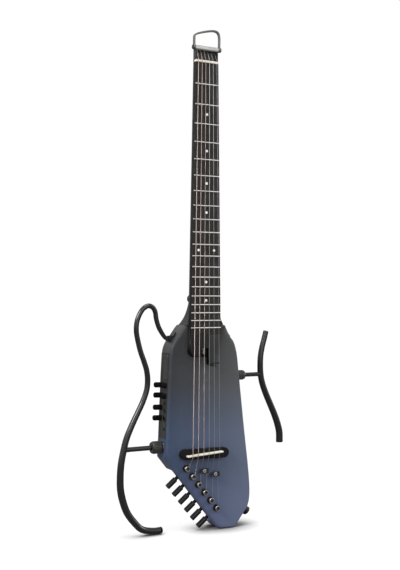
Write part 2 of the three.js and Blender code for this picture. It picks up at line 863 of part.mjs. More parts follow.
// Head: block, clamp bar and hanger loop
const headLength = 24.5;
const headTop = neckTop + headLength;
const barHeight = 7.5;
const barOverhang = 0.5;
const barWidth = nutWidth + barOverhang;
const barThickness = 5;
const barChamfer = 1.6;
const cheekWidth = 2.4;
const railDrop = 2;
const loopThickness = 3;
const loopDepth = 5;
const loopShares = [[-1, 0], [-1, 0.45], [-0.97, 0.62], [-0.78, 0.73], [0.6, 1], [0.9, 0.92], [1, 0.7], [1, 0]];
const loopRise = 31;
const pivotScrewRadius = 1.5;
const pivotScrewDepth = 8;
const pivotHeadRadius = 4;
const pivotHeadThickness = 1;
const pivotEyeRadius = 4.2;

const stringRadii = stringDiameters.map((diameter) => diameter / 2);
const clampDrop = 7.1;
const clampStringY = nutStringY + clampDrop;
const blockFace = clampStringY + stringRadii[0] + gap;
const barBack = clampStringY - stringRadii[0] - gap;
const barFront = barBack - barThickness;
const pivotPlace = at(0, barBack - barThickness / 2, headTop - barHeight / 2);
const loopX = barWidth / 2 + gap + loopThickness / 2;

function headBlockGeometry() {
  const half = nutWidth / 2;
  const section = (z) => neckSection(z, half, half, neckDepthAtNut, roundSquareness)
    .map((point) => point.setY(Math.max(point.y, blockFace)));
  const low = headTop - barHeight;
  const cheek = (sign, front, heights) => block(
    [Math.min(sign * half, sign * (half - cheekWidth)), Math.max(sign * half, sign * (half - cheekWidth))],
    [front, blockFace + gap],
    heights,
  );
  return join(
    loft([section(neckTop + gap), section(headTop)]),
    ...[-1, 1].map((sign) => cheek(sign, boardTop + railDrop, [neckTop + gap, low - gap])),
    ...[-1, 1].map((sign) => cheek(sign, barBack + gap, [low - overrun, headTop])),
  );
}
add('head_block', headBlockGeometry(), materials.blackWood);

function clampBarGeometry() {
  const half = barWidth / 2;
  const low = headTop - barHeight;
  const section = (x) => [
    at(x, barBack, low), at(x, barFront + barChamfer, low), at(x, barFront, low + barChamfer),
    at(x, barFront, headTop - barChamfer), at(x, barFront + barChamfer, headTop), at(x, barBack, headTop),
  ];
  const bore = (sign) => rod(
    pivotScrewRadius + gap,
    at(sign * (half + overrun), pivotPlace.y, pivotPlace.z),
    at(-sign, 0, 0),
    pivotScrewDepth + overrun + gap,
    8,
  );
  return cut(loft([section(-half), section(half)]), bore(-1), bore(1));
}
add('clamp_bar', clampBarGeometry(), materials.alloy);

function hangerLoopGeometry() {
  const points = loopShares.map(([x, z]) => at(x * loopX, 0, z * loopRise));
  const path = new THREE.CatmullRomCurve3(points, false, 'centripetal');
  const rings = 30;
  const sections = [];
  for (let step = 0; step <= rings; step += 1) {
    const centre = path.getPointAt(step / rings);
    const along = path.getTangentAt(step / rings);
    const across = new THREE.Vector3().crossVectors(along, rearward).normalize();
    const corner = (acrossSign, depthSign) => centre.clone()
      .addScaledVector(across, (acrossSign * loopThickness) / 2)
      .addScaledVector(rearward, (depthSign * loopDepth) / 2);
    sections.push([corner(-1, -1), corner(1, -1), corner(1, 1), corner(-1, 1)]);
  }
  const eye = (sign) => rod(
    pivotEyeRadius,
    at(sign * (loopX - loopThickness / 2), 0, 0),
    at(sign, 0, 0),
    loopThickness,
  );
  const bore = (sign) => rod(
    pivotScrewRadius + gap,
    at(sign * (loopX - loopThickness / 2 - overrun), 0, 0),
    at(sign, 0, 0),
    loopThickness + 2 * overrun,
    8,
  );
  return cut(join(loft(sections), eye(-1), eye(1)), bore(-1), bore(1));
}
add('hanger_loop', hangerLoopGeometry(), materials.alloy, pivotPlace);

for (const [name, sign] of [['hanger_screw_left', -1], ['hanger_screw_right', 1]]) {
  const start = barWidth / 2 - pivotScrewDepth;
  const seat = loopX + loopThickness / 2 + gap - start;
  add(name, revolve([
    [0, 0], [pivotScrewRadius, 0], [pivotScrewRadius, seat], [pivotHeadRadius, seat],
    [pivotHeadRadius, seat + pivotHeadThickness - gap], [pivotHeadRadius - gap, seat + pivotHeadThickness],
    [0, seat + pivotHeadThickness],
  ], at(0, 0, 0), at(sign, 0, 0)), materials.bronze, at(sign * start, pivotPlace.y, pivotPlace.z));
}

// Bridge: its frame lies along the saddle, which leans with the string compensation
const bridgeTilt = -Math.atan2(bassCompensation - trebleCompensation, saddleStringSpan);
const baseTilt = 0.02;
const bridgeShift = 2;
const bridgeLength = 91;
const bridgeWidth = 17;
const bridgeThickness = 7.5;
const saddleLength = 67;
const saddleThickness = 2.5;
const saddleSlotDepth = 5;
const piezoThickness = 1.2;

const bridge = turnedGroup(at(0, 0, bridgeHeight), bridgeTilt);
const bridgeTop = face - gap - bridgeThickness;
const slotFloor = bridgeTop + saddleSlotDepth;

function bridgeGeometry() {
  const half = bridgeLength / 2 - bridgeWidth / 2;
  const shape = new THREE.Shape();
  shape.absarc(bridgeShift + half, 0, bridgeWidth / 2, -Math.PI / 2, Math.PI / 2);
  shape.absarc(bridgeShift - half, 0, bridgeWidth / 2, Math.PI / 2, 1.5 * Math.PI);
  const slot = block(
    [-saddleLength / 2 - gap, saddleLength / 2 + gap],
    [bridgeTop - overrun, slotFloor],
    [-saddleThickness / 2 - gap, saddleThickness / 2 + gap],
  );
  const base = plate(shape, [bridgeTop, face - gap], 0, 1, 10).rotateY(baseTilt - bridgeTilt);
  return cut(base, slot);
}
add('bridge_base', bridgeGeometry(), materials.blackWood, at(0, 0, 0), bridge);
add('piezo_strip', block(
  [-saddleLength / 2, saddleLength / 2],
  [slotFloor - gap - piezoThickness, slotFloor - gap],
  [-saddleThickness / 2, saddleThickness / 2],
), materials.steel, at(0, 0, 0), bridge);
add('saddle', block(
  [-saddleLength / 2, saddleLength / 2],
  [saddleStringY, slotFloor - 2 * gap - piezoThickness],
  [-saddleThickness / 2, saddleThickness / 2],
), materials.bone, at(0, 0, 0), bridge);

// Strings: clamp, nut, saddle, string tree for four of them, then round the tuner post
const treeWidth = 16;
const treeHeight = 8;
const treeThickness = 2.6;
const treeStemRadius = 3;
const treeFall = 29;
const trebleTreeFall = 36;
const treeStringRise = 5.2;
const treeStringY = face - treeStringRise;

const spread = (span, k) => span * (k / (tunerCount - 1) - 0.5);

const postTop = (k) => postPlace(k, 0).applyMatrix4(tail.matrix);

function saddlePoint(k) {
  const x = spread(saddleStringSpan, k);
  const low = bridgeHeight - saddleThickness / 2 - gap;
  return at(x, saddleStringY - gap - stringRadii[k], low - x * Math.tan(bridgeTilt));
}

const wrapRadius = (k) => postGrooveRadius + gap + stringRadii[k];

const firstTreeString = 2;
const firstTrebleTreeString = 4;
const treeZ = (k) => bridgeHeight - (k < firstTrebleTreeString ? treeFall : trebleTreeFall);

function treePoint(k) {
  const saddle = saddlePoint(k);
  const post = postTop(k);
  const z = treeZ(k) + treeHeight / 2 + gap;
  const share = (saddle.z - z) / (saddle.z - post.z);
  return at(blend(saddle.x, post.x + wrapRadius(k), share), treeStringY, z);
}

function stringGeometry(k) {
  const radius = stringRadii[k];
  const sides = 6;
  const clampX = spread(clampStringSpan, k);
  const points = [
    at(clampX, clampStringY, headTop - barChamfer),
    at(clampX, clampStringY, headTop - barHeight),
    at(spread(nutStringSpan, k), nutStringY - radius, neckTop + gap),
    saddlePoint(k),
  ];
  if (k >= firstTreeString) points.push(treePoint(k));
  const post = postTop(k);
  const turns = 0.85;
  const wrapSteps = 12;
  const firstY = grooveLow - gap - radius;
  const lastY = Math.max(grooveTop + gap + radius, firstY - 2 * radius - gap);
  for (let step = 0; step <= wrapSteps; step += 1) {
    const angle = (-2 * Math.PI * turns * step) / wrapSteps;
    points.push(at(
      post.x + wrapRadius(k) * Math.cos(angle),
      blend(firstY, lastY, step / wrapSteps),
      post.z + wrapRadius(k) * Math.sin(angle),
    ));
  }
  const rings = points.map((point, i) => {
    const before = points[Math.max(0, i - 1)];
    const after = points[Math.min(points.length - 1, i + 1)];
    const along = new THREE.Vector3().subVectors(after, before).normalize();
    const across = new THREE.Vector3().crossVectors(along, rearward).normalize();
    const up = new THREE.Vector3().crossVectors(across, along).normalize();
    return Array.from({ length: sides }, (_, n) => {
      const angle = (2 * Math.PI * n) / sides;
      return point.clone()
        .addScaledVector(across, radius * Math.cos(angle))
        .addScaledVector(up, radius * Math.sin(angle));
    });
  });
  return loft(rings);
}
stringNames.forEach((number, k) => {
  add(`string_${number}`, stringGeometry(k), k < 3 ? materials.wound : materials.steel);
});

// String trees: a bar over two strings on a stem between them
for (const [name, k] of [['string_tree_middle', firstTreeString], ['string_tree_treble', firstTrebleTreeString]]) {
  const first = treePoint(k);
  const second = treePoint(k + 1);
  const under = treeStringY - stringRadii[k] - gap;
  const bar = block(
    [-treeWidth / 2, treeWidth / 2],
    [under - treeThickness, under],
    [-treeHeight / 2, treeHeight / 2],
  );
  const stem = rod(treeStemRadius, at(0, under - gap, 0), rearward, face - under, 10);
  add(name, join(bar, stem), materials.plastic, at((first.x + second.x) / 2, 0, treeZ(k)));
}

// Tuners: rail with its bushings behind the lip, posts through the face, knobs out of the tail
function railGeometry() {
  const bars = [block([railStart, railEnd], [railTop, railBottom], [railInset, railInset + railDepth])];
  const bores = [];
  for (let k = 0; k < tunerCount; k += 1) {
    const tube = postPlace(k, flangeTop);
    bars.push(rod(bushingRadius, tube, rearward, railTop - flangeTop + gap));
    bars.push(rod(flangeRadius, tube, rearward, flangeThickness, 16));
    bores.push(rod(
      postRadius + gap, postPlace(k, flangeTop - overrun), rearward,
      knobAxisY + postTail - flangeTop + overrun + gap, 12,
    ));
    const worm = wormPlace(k);
    worm.z = railInset - overrun;
    bores.push(rod(knobShaftRadius + gap, worm, at(0, 0, 1), railDepth + overrun - wormEndWall, 10));
  }
  return cut(join(...bars), ...bores);
}
add('tuner_rail', railGeometry(), materials.bronze, at(0, 0, 0), tail);

function postGeometry() {
  const top = face - postCapRise;
  const low = knobAxisY + postTail;
  const turned = revolve([
    [0, 0], [postCapRadius - postCapRound, 0], [postCapRadius, postCapRound],
    [postCapRadius, postCapThickness],
    [postGrooveRadius, postCapThickness + gap / 2], [postGrooveRadius, grooveLow - top],
    [postRadius, grooveLow - top + gap], [postRadius, low - top], [0, low - top],
  ], at(0, 0, 0), rearward, 14);
  const slot = block(
    [-postSlot / 2, postSlot / 2],
    [-overrun, postCapThickness],
    [-postCapRadius - overrun, postCapRadius + overrun],
  );
  const well = rod(postWellRadius, at(0, -overrun, 0), rearward, overrun + postCapThickness, 10);
  return cut(turned, slot, well);
}

function knobGeometry() {
  const inner = railInset + railDepth - wormEndWall - gap;
  const outer = -knobStandoff;
  const tip = outer - knobLength;
  return revolve([
    [0, tip], [knobRadius - knobEndRound, tip], [knobRadius, tip + knobEndRound],
    [knobRadius, outer - knobEndRound], [knobRadius - knobEndRound, outer],
    [knobShaftRadius, outer], [knobShaftRadius, inner], [0, inner],
  ], at(0, 0, 0), at(0, 0, 1), 14);
}

stringNames.forEach((number, k) => {
  add(`tuner_post_${number}`, postGeometry(), materials.steel, postPlace(k, face - postCapRise), tail);
  add(`tuner_knob_${number}`, knobGeometry(), materials.plastic, wormPlace(k), tail);
});

// Frames
function leftFrameGeometry() {
  const curve = leftFrameCurve();
  const peg = rod(
    leftPegRadius,
    at(socketPlace.x, frameCentreline, socketPlace.z),
    left,
    leftFrameShares[0][0] * leftFrameReach + socketPlace.x + leftPegRadius,
    8,
  );
  const strutStart = at(leftWallX + leftStrutInside - 2 * overrun, frameCentreline, leftStrutHeight);
  const strutEnd = leftStrutEndShare * leftFrameReach;
  const strut = rod(leftStrutRadius, strutStart, left, strutStart.x + strutEnd, 12);
  return join(taperedTube(curve, leftRadiusAt, 62), peg, strut);
}
add('left_frame', leftFrameGeometry(), materials.tube);

const capPlace = at(-leftFrameEnd + gap, frameCentreline, endRise);
add('left_frame_cap', rod(leftEndRadius, at(0, 0, 0), right, capLength), materials.rubber, capPlace);

function rightFrameGeometry() {
  const points = framePoints(rightFrameShares, rightFrameReach, rightFrameHeight);
  const curve = new THREE.CatmullRomCurve3(points, false, 'centripetal');
  const radiusAt = (share) => blend(rightTopRadius, rightLowRadius, share);
  const bow = rightStrutEndShare * rightFrameReach;
  const strutStart = at(rightWallX - rightStrutInside + 2 * overrun, frameCentreline, rightStrutHeight);
  const strut = rod(rightStrutRadius, strutStart, right, bow - strutStart.x, 12);
  return join(taperedTube(curve, radiusAt, 36), strut);
}
add('right_frame', rightFrameGeometry(), materials.tube);

add('left_ferrule', revolve([
  [leftStrutRadius + gap, -ferruleDepth + gap], [leftFerruleRadius, -ferruleDepth + gap],
  [leftFerruleRadius, ferruleRise - gap], [leftFerruleRadius - gap, ferruleRise],
  [leftStrutRadius + gap, ferruleRise], [leftStrutRadius + gap, -ferruleDepth + gap],
], at(0, 0, 0), left, 16), materials.steel, at(leftWallX, frameCentreline, leftStrutHeight));
add('left_collar', collar(leftStrutRadius + gap, leftCollarRadius, leftCollarLength, left, 16),
  materials.plastic, at(leftWallX - ferruleRise - gap, frameCentreline, leftStrutHeight));
add('right_ferrule', revolve([
  [rightStrutRadius + gap, -ferruleDepth + gap], [rightFerruleRadius, -ferruleDepth + gap],
  [rightFerruleRadius, ferruleRise - gap], [rightFerruleRadius - gap, ferruleRise],
  [rightStrutRadius + gap, ferruleRise], [rightStrutRadius + gap, -ferruleDepth + gap],
], at(0, 0, 0), right, 16), materials.steel, at(rightWallX, frameCentreline, rightStrutHeight));
add('right_collar', collar(rightStrutRadius + gap, rightCollarRadius, rightCollarLength, right, 16),
  materials.plastic, at(rightWallX + ferruleRise + gap, frameCentreline, rightStrutHeight));

add('shoulder_socket', cut(
  shoulderSocketGeometry(0),
  rod(leftPegRadius + gap, at(-socketSize / 2 - overrun, 0, 0), right, socketSize + overrun - socketFloor),
), materials.plastic, socketPlace);

// Strap buttons
for (const [name, button] of [['strap_button_upper', upperButton], ['strap_button_lower', lowerButton]]) {
  const geometry = buttonGeometry();
  geometry.applyQuaternion(new THREE.Quaternion().setFromUnitVectors(rearward, button.direction));
  add(name, geometry, materials.plastic, button.place);
}

// Control panel on the side wall: X into the body, Z along the wall
const trayHeightShare = 0.468;
const trayHeight = trayHeightShare * halfPanel;
const trayMargin = 1;
const trayWidth = 17.8;
const trayFront = panelFront + trayMargin;
const trayBack = trayFront + trayWidth;
const trayShare = 0.624;
const trayMiddle = trayShare * halfPanel;
const trayWall = 2;
const trayRunout = 1;
const trayDepth = bayDepth - trayRunout;
const batteryThickness = 16.5;
const batteryMargin = 3.5;
const batteryWidth = trayHeight - 2 * batteryMargin;
const longKnobInset = 5.7;
const longKnobY = panelBack - longKnobInset;
const longKnobShares = [0.248, 0.007, -0.282, -0.532];
const longKnobRise = 13.3;
const shortKnobInset = 6.9;
const shortKnobY = panelFront + shortKnobInset;
const shortKnobShares = [0.254, 0.001];
const shortKnobRise = 6.5;
const dialRadius = 4.7;
const dialShaftRadius = 2.5;
const dialShaftDepth = 8;
const dialLift = 0.6;
const dialTipInset = 1.2;
const dialTipRound = 0.6;
const boardX = 20;
const pcbThickness = 1.6;
const potRadius = 5.4;
const jackInset = 7;
const jackY = panelFront + jackInset;
const smallJack = { radius: 3.4, bore: 1.8 };
const largeJack = { radius: 4.6, bore: 3.2 };
const chargingJack = { radius: 2.6, bore: 1.1 };
const jacks = [
  { name: 'aux_socket', share: -0.163, ...smallJack },
  { name: 'headphone_jack', share: -0.353, ...smallJack },
  { name: 'output_jack', share: -0.532, ...largeJack },
  { name: 'charging_socket', share: -0.777, ...chargingJack },
];
const jackRise = 1;
const panelScrewShare = 0.929;
const panelScrewInset = 4;
const panelScrewY = panelFront + panelScrewInset;
const panelScrewRadius = 1.6;
const panelScrewSink = 0.9;

const dials = [
  ...longKnobShares.map((share, n) => (
    { name: `long_knob_${n + 1}`, y: longKnobY, share, rise: longKnobRise }
  )),
  ...shortKnobShares.map((share, n) => (
    { name: `short_knob_${n + 1}`, y: shortKnobY, share, rise: shortKnobRise }
  )),
];
const onPanel = (x, y, share) => at(x, y, share * halfPanel);
const inward = at(1, 0, 0);

function panelGeometry() {
  const sheet = block([0, panelThickness], [panelFront, panelBack], [-halfPanel, halfPanel]);
  const holes = [
    block(
      [-overrun, panelThickness + overrun],
      [trayFront - gap, trayBack + gap],
      [trayMiddle - trayHeight / 2 - gap, trayMiddle + trayHeight / 2 + gap],
    ),
    rod(
      panelScrewRadius, onPanel(-overrun, panelScrewY, panelScrewShare), inward,
      overrun + panelScrewSink, 8,
    ),
  ];
  for (const dial of dials) {
    holes.push(rod(
      dialShaftRadius + gap, onPanel(-overrun, dial.y, dial.share), inward, panelThickness + 2 * overrun, 10,
    ));
  }
  for (const jack of jacks) {
    holes.push(rod(
      jack.radius + gap, onPanel(-overrun, jackY, jack.share), inward, panelThickness + 2 * overrun, 12,
    ));
  }
  return cut(sheet, ...holes);
}
add('control_panel', panelGeometry(), materials.plastic, at(0, 0, 0), side);

for (const dial of dials) {
  add(dial.name, revolve([
    [0, -dial.rise - dialLift], [dialRadius - dialTipInset, -dial.rise - dialLift],
    [dialRadius - dialTipRound, -dial.rise - dialLift + dialTipRound], [dialRadius, -dialLift],
    [dialShaftRadius, -dialLift], [dialShaftRadius, dialShaftDepth], [0, dialShaftDepth],
  ], at(0, 0, 0), inward, 14), materials.rubber, onPanel(0, dial.y, dial.share), side);
}

for (const jack of jacks) {
  const depth = boardX - gap;
  add(jack.name, revolve([
    [jack.bore, -jackRise], [jack.radius - gap, -jackRise], [jack.radius, -jackRise + gap],
    [jack.radius, depth], [0, depth], [0, depth - panelThickness], [jack.bore, depth - panelThickness],
    [jack.bore, -jackRise],
  ], at(0, 0, 0), inward, 12), materials.steel, onPanel(0, jackY, jack.share), side);
}

function preampGeometry() {
  const lowZ = bayRange.z[0] + gap;
  const highZ = trayMiddle - trayHeight / 2 - 2 * gap;
  const potStart = bayRange.x[0] + gap;
  const sheet = block(
    [boardX, boardX + pcbThickness], [bayRange.y[0] + gap, panelBack], [lowZ, highZ],
  );
  const pots = dials.map((dial) => rod(
    potRadius, onPanel(potStart, dial.y, dial.share), inward, boardX - potStart + gap, 10,
  ));
  const bores = dials.map((dial) => rod(
    dialShaftRadius + gap, onPanel(0, dial.y, dial.share), inward, dialShaftDepth + gap, 10,
  ));
  return cut(join(sheet, ...pots), ...bores);
}
add('preamp_board', preampGeometry(), materials.board, at(0, 0, 0), side);

function trayGeometry() {
  const halfHeight = trayHeight / 2;
  const facePlate = block([0, panelThickness], [trayFront, trayBack], [-halfHeight, halfHeight]);
  const railOuter = batteryWidth / 2 + gap + trayWall;
  const rails = [-1, 1].map((sign) => block(
    [panelThickness - gap, trayDepth],
    [trayFront, trayBack],
    [Math.min(sign * railOuter, sign * (railOuter - trayWall)),
      Math.max(sign * railOuter, sign * (railOuter - trayWall))],
  ));
  const endWall = block(
    [trayDepth - trayWall, trayDepth], [trayFront, trayBack], [-railOuter, railOuter],
  );
  return join(facePlate, ...rails, endWall);
}
add('battery_tray', trayGeometry(), materials.plastic, at(0, 0, trayMiddle), side);

const batteryMiddleY = (trayFront + trayBack) / 2;
add('battery', block(
  [panelThickness + gap, trayDepth - trayWall - gap],
  [batteryMiddleY - batteryThickness / 2, batteryMiddleY + batteryThickness / 2],
  [-batteryWidth / 2, batteryWidth / 2],
), materials.bronze, at(0, 0, trayMiddle), side);

// The origin lies on the foot, midway between the corners that its edge is drawn from
instrument.position.x = -(footStart + footEnd) / 2;
const guitar = new THREE.Group();
guitar.add(instrument);
export default guitar;
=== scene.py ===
# %% [markdown]
# A travel guitar on two tube frames. The CAD parts say where everything is, and each cell below gives
# one group of them its finer shape and its finish. Camera, lamps and finishes are set in metres, and
# pieces are drawn in millimetres.

# %% Load the fixed frame
import json
import math

import bmesh
import bpy
from mathutils import Matrix, Vector


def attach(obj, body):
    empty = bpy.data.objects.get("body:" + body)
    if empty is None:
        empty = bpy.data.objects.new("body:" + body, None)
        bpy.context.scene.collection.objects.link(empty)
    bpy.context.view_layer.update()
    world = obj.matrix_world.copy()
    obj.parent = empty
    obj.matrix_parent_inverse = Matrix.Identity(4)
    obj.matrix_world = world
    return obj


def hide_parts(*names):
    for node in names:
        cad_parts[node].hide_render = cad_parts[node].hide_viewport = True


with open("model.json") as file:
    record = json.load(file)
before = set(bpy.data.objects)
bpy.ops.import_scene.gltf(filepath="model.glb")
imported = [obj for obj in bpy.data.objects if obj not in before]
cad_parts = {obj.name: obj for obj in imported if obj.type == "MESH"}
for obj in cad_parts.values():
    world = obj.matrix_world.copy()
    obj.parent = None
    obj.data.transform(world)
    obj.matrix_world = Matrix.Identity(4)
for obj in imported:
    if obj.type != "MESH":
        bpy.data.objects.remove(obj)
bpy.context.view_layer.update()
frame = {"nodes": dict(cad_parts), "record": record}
body_of = {
    node_name: body
    for body, nodes in frame["record"]["behaviour"]["bodies"].items()
    for node_name in nodes
}

# %% [markdown]
# The camera stands where the photographer's did: a little left of the guitar and level with its
# middle. Yaw turns it to the right, pitch lifts it and roll tips the picture.

# %% Camera
CAMERA_PLACE = Vector((-0.75785, -1.3657, 0.4042))
YAW = math.radians(27.56)
PITCH = math.radians(0.39)
ROLL = math.radians(0.296)
LENS = 57.07
SENSOR_WIDTH = 36


def object_from(data, name):
    made = bpy.data.objects.new(name, data)
    bpy.context.scene.collection.objects.link(made)
    return made


forward = Vector((math.sin(YAW) * math.cos(PITCH), math.cos(YAW) * math.cos(PITCH), math.sin(PITCH)))
level = Vector((math.cos(YAW), -math.sin(YAW), 0))
upright = level.cross(forward)
picture_right = level * math.cos(ROLL) + upright * math.sin(ROLL)
picture_up = upright * math.cos(ROLL) - level * math.sin(ROLL)

camera_data = bpy.data.cameras.new("camera")
camera_data.lens = LENS
camera_data.sensor_width = SENSOR_WIDTH
camera = object_from(camera_data, "camera")
turn = Matrix((picture_right, picture_up, -forward)).transposed()
camera.matrix_world = Matrix.Translation(CAMERA_PLACE) @ turn.to_4x4()
bpy.context.scene.camera = camera
bpy.context.scene.view_settings.view_transform = "Standard"
print("camera looks along", [round(value, 3) for value in forward])

# %% [markdown]
# Every finish is a small network of nodes. One helper adds a node and wires or sets its inputs, and
# the others make what comes back in most networks.


# %% Node helpers
def node(tree, kind, inputs=None, **settings):
    made = tree.nodes.new(kind)
    for key, value in settings.items():
        setattr(made, key, value)
    for key, value in (inputs or {}).items():
        if isinstance(value, bpy.types.NodeSocket):
            tree.links.new(value, made.inputs[key])
        else:
            made.inputs[key].default_value = value
    return made


def reckoned(tree, operation, first, second):
    return node(tree, "ShaderNodeMath", {0: first, 1: second}, operation=operation).outputs[0]


def times(tree, first, second):
    return reckoned(tree, "MULTIPLY", first, second)


def mixed(tree, mask, first, second):
    """Colour between first and second by a mask of 0 to 1."""
    first = first if isinstance(first, bpy.types.NodeSocket) else (*first, 1)
    second = second if isinstance(second, bpy.types.NodeSocket) else (*second, 1)
    return node(tree, "ShaderNodeMix", {0: mask, 6: first, 7: second}, data_type="RGBA").outputs[2]


def ranged(tree, value, start, end, low=0.0, high=1.0):
    """Value mapped from start..end to low..high, held at both ends."""
    inputs = {"Value": value, "From Min": start, "From Max": end, "To Min": low, "To Max": high}
    return node(tree, "ShaderNodeMapRange", inputs).outputs["Result"]


def noise(tree, place, scale, detail, roughness=0.5, distortion=0.0):
    inputs = {"Vector": place, "Scale": scale, "Detail": detail}
    inputs.update({"Roughness": roughness, "Distortion": distortion})
    return node(tree, "ShaderNodeTexNoise", inputs).outputs[0]


def object_place(tree):
    return node(tree, "ShaderNodeTexCoord").outputs["Object"]


def bare_material(values):
    """A new material, its tree and its shader, with some of the shader's own values set."""
    material = bpy.data.materials.new("finish")
    material.use_nodes = True
    shader = material.node_tree.nodes["Principled BSDF"]
    for label, value in values.items():
        shader.inputs[label].default_value = value
    return material, material.node_tree, shader


# %% [markdown]
# The floor keeps the guitar's soft shadow. A camera sees it with a light of its own that grows with
# the distance from the guitar, so the open floor and the backdrop are one white. That light fades
# where an Ambient Occlusion node finds something close above, so the tip keeps its contact shadow.
# For light that bounces the floor is a dull grey, so the undersides of the guitar stay dark.

# %% Floor, backdrop and lamps
FLOOR_REACH = 14
FLOOR_DROP = 0.0004
FLOOR_SEEN = (0.20, 0.20, 0.20)
FLOOR_FELT = (0.22, 0.22, 0.22)
FLOOR_NEAR = 0.25
FLOOR_FAR = 0.8
FLOOR_LIFT = 0.80
CONTACT_REACH = 0.05
CONTACT_RANGE = (0.48, 0.95)
WHITE = (1, 1, 1, 1)
AMBIENT = 0.38
LAMPS = {
    "key_left": ((-2.1, -0.6, 1.7), 0.8, 54),
    "fill_front": ((-0.1, -2.6, 1.3), 2.2, 24),
    "side_right": ((2.3, -0.9, 1.3), 1.1, 36),
    "top": ((-0.1, -0.3, 2.6), 1.2, 34),
}
LAMP_TARGET = Vector((-0.03, 0, 0.38))

floor_mesh = bpy.data.meshes.new("floor")
floor_corners = [(-1, -1, 0), (1, -1, 0), (1, 1, 0), (-1, 1, 0)]
floor_mesh.from_pydata([Vector(corner) * FLOOR_REACH for corner in floor_corners], [], [(0, 1, 2, 3)])
floor = object_from(floor_mesh, "floor")
floor.location.z = -FLOOR_DROP
floor_values = {"Roughness": 0.9, "Specular IOR Level": 0.1, "Emission Color": WHITE}
floor_material, floor_tree, floor_shader = bare_material(floor_values)
floor_material.name = "floor"
by_camera = node(floor_tree, "ShaderNodeLightPath").outputs["Is Camera Ray"]
away = node(floor_tree, "ShaderNodeVectorMath", {0: object_place(floor_tree)}, operation="LENGTH")
open_floor = ranged(floor_tree, away.outputs["Value"], FLOOR_NEAR, FLOOR_FAR)
seen_colour = mixed(floor_tree, open_floor, FLOOR_SEEN, (0, 0, 0))
floor_colour = mixed(floor_tree, by_camera, FLOOR_FELT, seen_colour)
floor_tree.links.new(floor_colour, floor_shader.inputs["Base Color"])
openness = node(floor_tree, "ShaderNodeAmbientOcclusion", {"Distance": CONTACT_REACH}).outputs["AO"]
contact = ranged(floor_tree, openness, *CONTACT_RANGE)
lift = times(floor_tree, contact, ranged(floor_tree, open_floor, 0, 1, FLOOR_LIFT, 1))
floor_tree.links.new(times(floor_tree, by_camera, lift), floor_shader.inputs["Emission Strength"])
floor_mesh.materials.append(floor_material)

world = bpy.data.worlds.new("studio")
bpy.context.scene.world = world
world.use_nodes = True
world_tree = world.node_tree
rays = node(world_tree, "ShaderNodeLightPath").outputs
shown = rays["Is Camera Ray"]
for other in ("Is Transmission Ray", "Is Glossy Ray"):
    shown = reckoned(world_tree, "MAXIMUM", shown, rays[other])
backdrop = world_tree.nodes["Background"]
backdrop.inputs["Color"].default_value = WHITE
world_tree.links.new(ranged(world_tree, shown, 0, 1, AMBIENT, 1), backdrop.inputs["Strength"])

for name, (place, size, power) in LAMPS.items():
    light = bpy.data.lights.new(name, "AREA")
    light.size = size
    light.energy = power
    holder = object_from(light, name)
    holder.location = place
    holder.rotation_euler = (LAMP_TARGET - holder.location).to_track_quat("-Z", "Y").to_euler()
print("lamps:", ", ".join(LAMPS))

# %% [markdown]
# Four effects are node groups, each made once: a fine grain, the marks that hands leave, a lighter line
# along edges, which is wear on most parts and a painted glint on the tuner posts, and the winding of a
# wrapped string.


# %% Shader groups
def shader_group(name, inputs, outputs, build):
    """Node group that puts out what build makes of its inputs. An input without a value is a vector."""
    group = bpy.data.node_groups.new(name, "ShaderNodeTree")
    for label, value in inputs.items():
        kind = "NodeSocketFloat" if isinstance(value, float) else "NodeSocketVector"
        socket = group.interface.new_socket(label, in_out="INPUT", socket_type=kind)
        if value is not None:
            socket.default_value = value
    for label in outputs:
        group.interface.new_socket(label, in_out="OUTPUT", socket_type="NodeSocketFloat")
    given = node(group, "NodeGroupInput").outputs
    made = build(group, *[given[label] for label in inputs])
    node(group, "NodeGroupOutput", dict(zip(outputs, made)))
    return group


def fine_grain(group, place, stretch, scale):
    pulled = node(group, "ShaderNodeVectorMath", {0: place, 1: stretch}, operation="MULTIPLY")
    grain = noise(group, pulled.outputs[0], scale, 3.0, 0.6)
    return ranged(group, grain, 0.35, 0.65), grain


def handling_marks(group, place, scale):
    cloud = noise(group, place, scale, 5.0, 0.62, 0.4)
    return [ranged(group, cloud, 0.3, 0.7)]


def lighter_edge(group, place, start, full):
    pointiness = node(group, "ShaderNodeNewGeometry").outputs["Pointiness"]
    chance = ranged(group, noise(group, place, 140.0, 4.0), 0.3, 0.62)
    return [times(group, ranged(group, pointiness, start, full), chance)]


def winding(group, along, turns):
    inputs = {"Vector": along, "Scale": turns, "Distortion": 0.0}
    ridges = node(group, "ShaderNodeTexWave", inputs, wave_type="BANDS", bands_direction="X").outputs["Fac"]
    return ranged(group, ridges, 0.1, 0.9), ridges


FINE_GRAIN = shader_group(
    "fine grain", {"Place": None, "Stretch": (1, 1, 1), "Scale": 800.0}, ["Mask", "Height"], fine_grain
)
HANDLING = shader_group("handling marks", {"Place": None, "Scale": 18.0}, ["Mask"], handling_marks)
LIGHTER_EDGE = shader_group("lighter edge", {"Place": None, "Start": 0.53, "Full": 0.62}, ["Mask"], lighter_edge)
WINDING = shader_group("winding", {"Along": None, "Turns": 2500.0}, ["Mask", "Height"], winding)
print("shader groups:", ", ".join(group.name for group in (FINE_GRAIN, HANDLING, LIGHTER_EDGE, WINDING)))

# %% [markdown]
# A finish has a dark and a light version of its colour, duller and shinier patches, a grain raised by
# a few hundredths of a millimetre, and lighter edges: rubbed wear, and on the post metal a painted glint.
# Each material states its own values.

# %% Finish helper
HANDLING_SCALE = 16.0
COAT_ROUGHNESS = 0.12
NO_WEAR = ((0, 0, 0), 0)


def grouped(tree, group, **inputs):
    return node(tree, "ShaderNodeGroup", inputs, node_tree=group).outputs


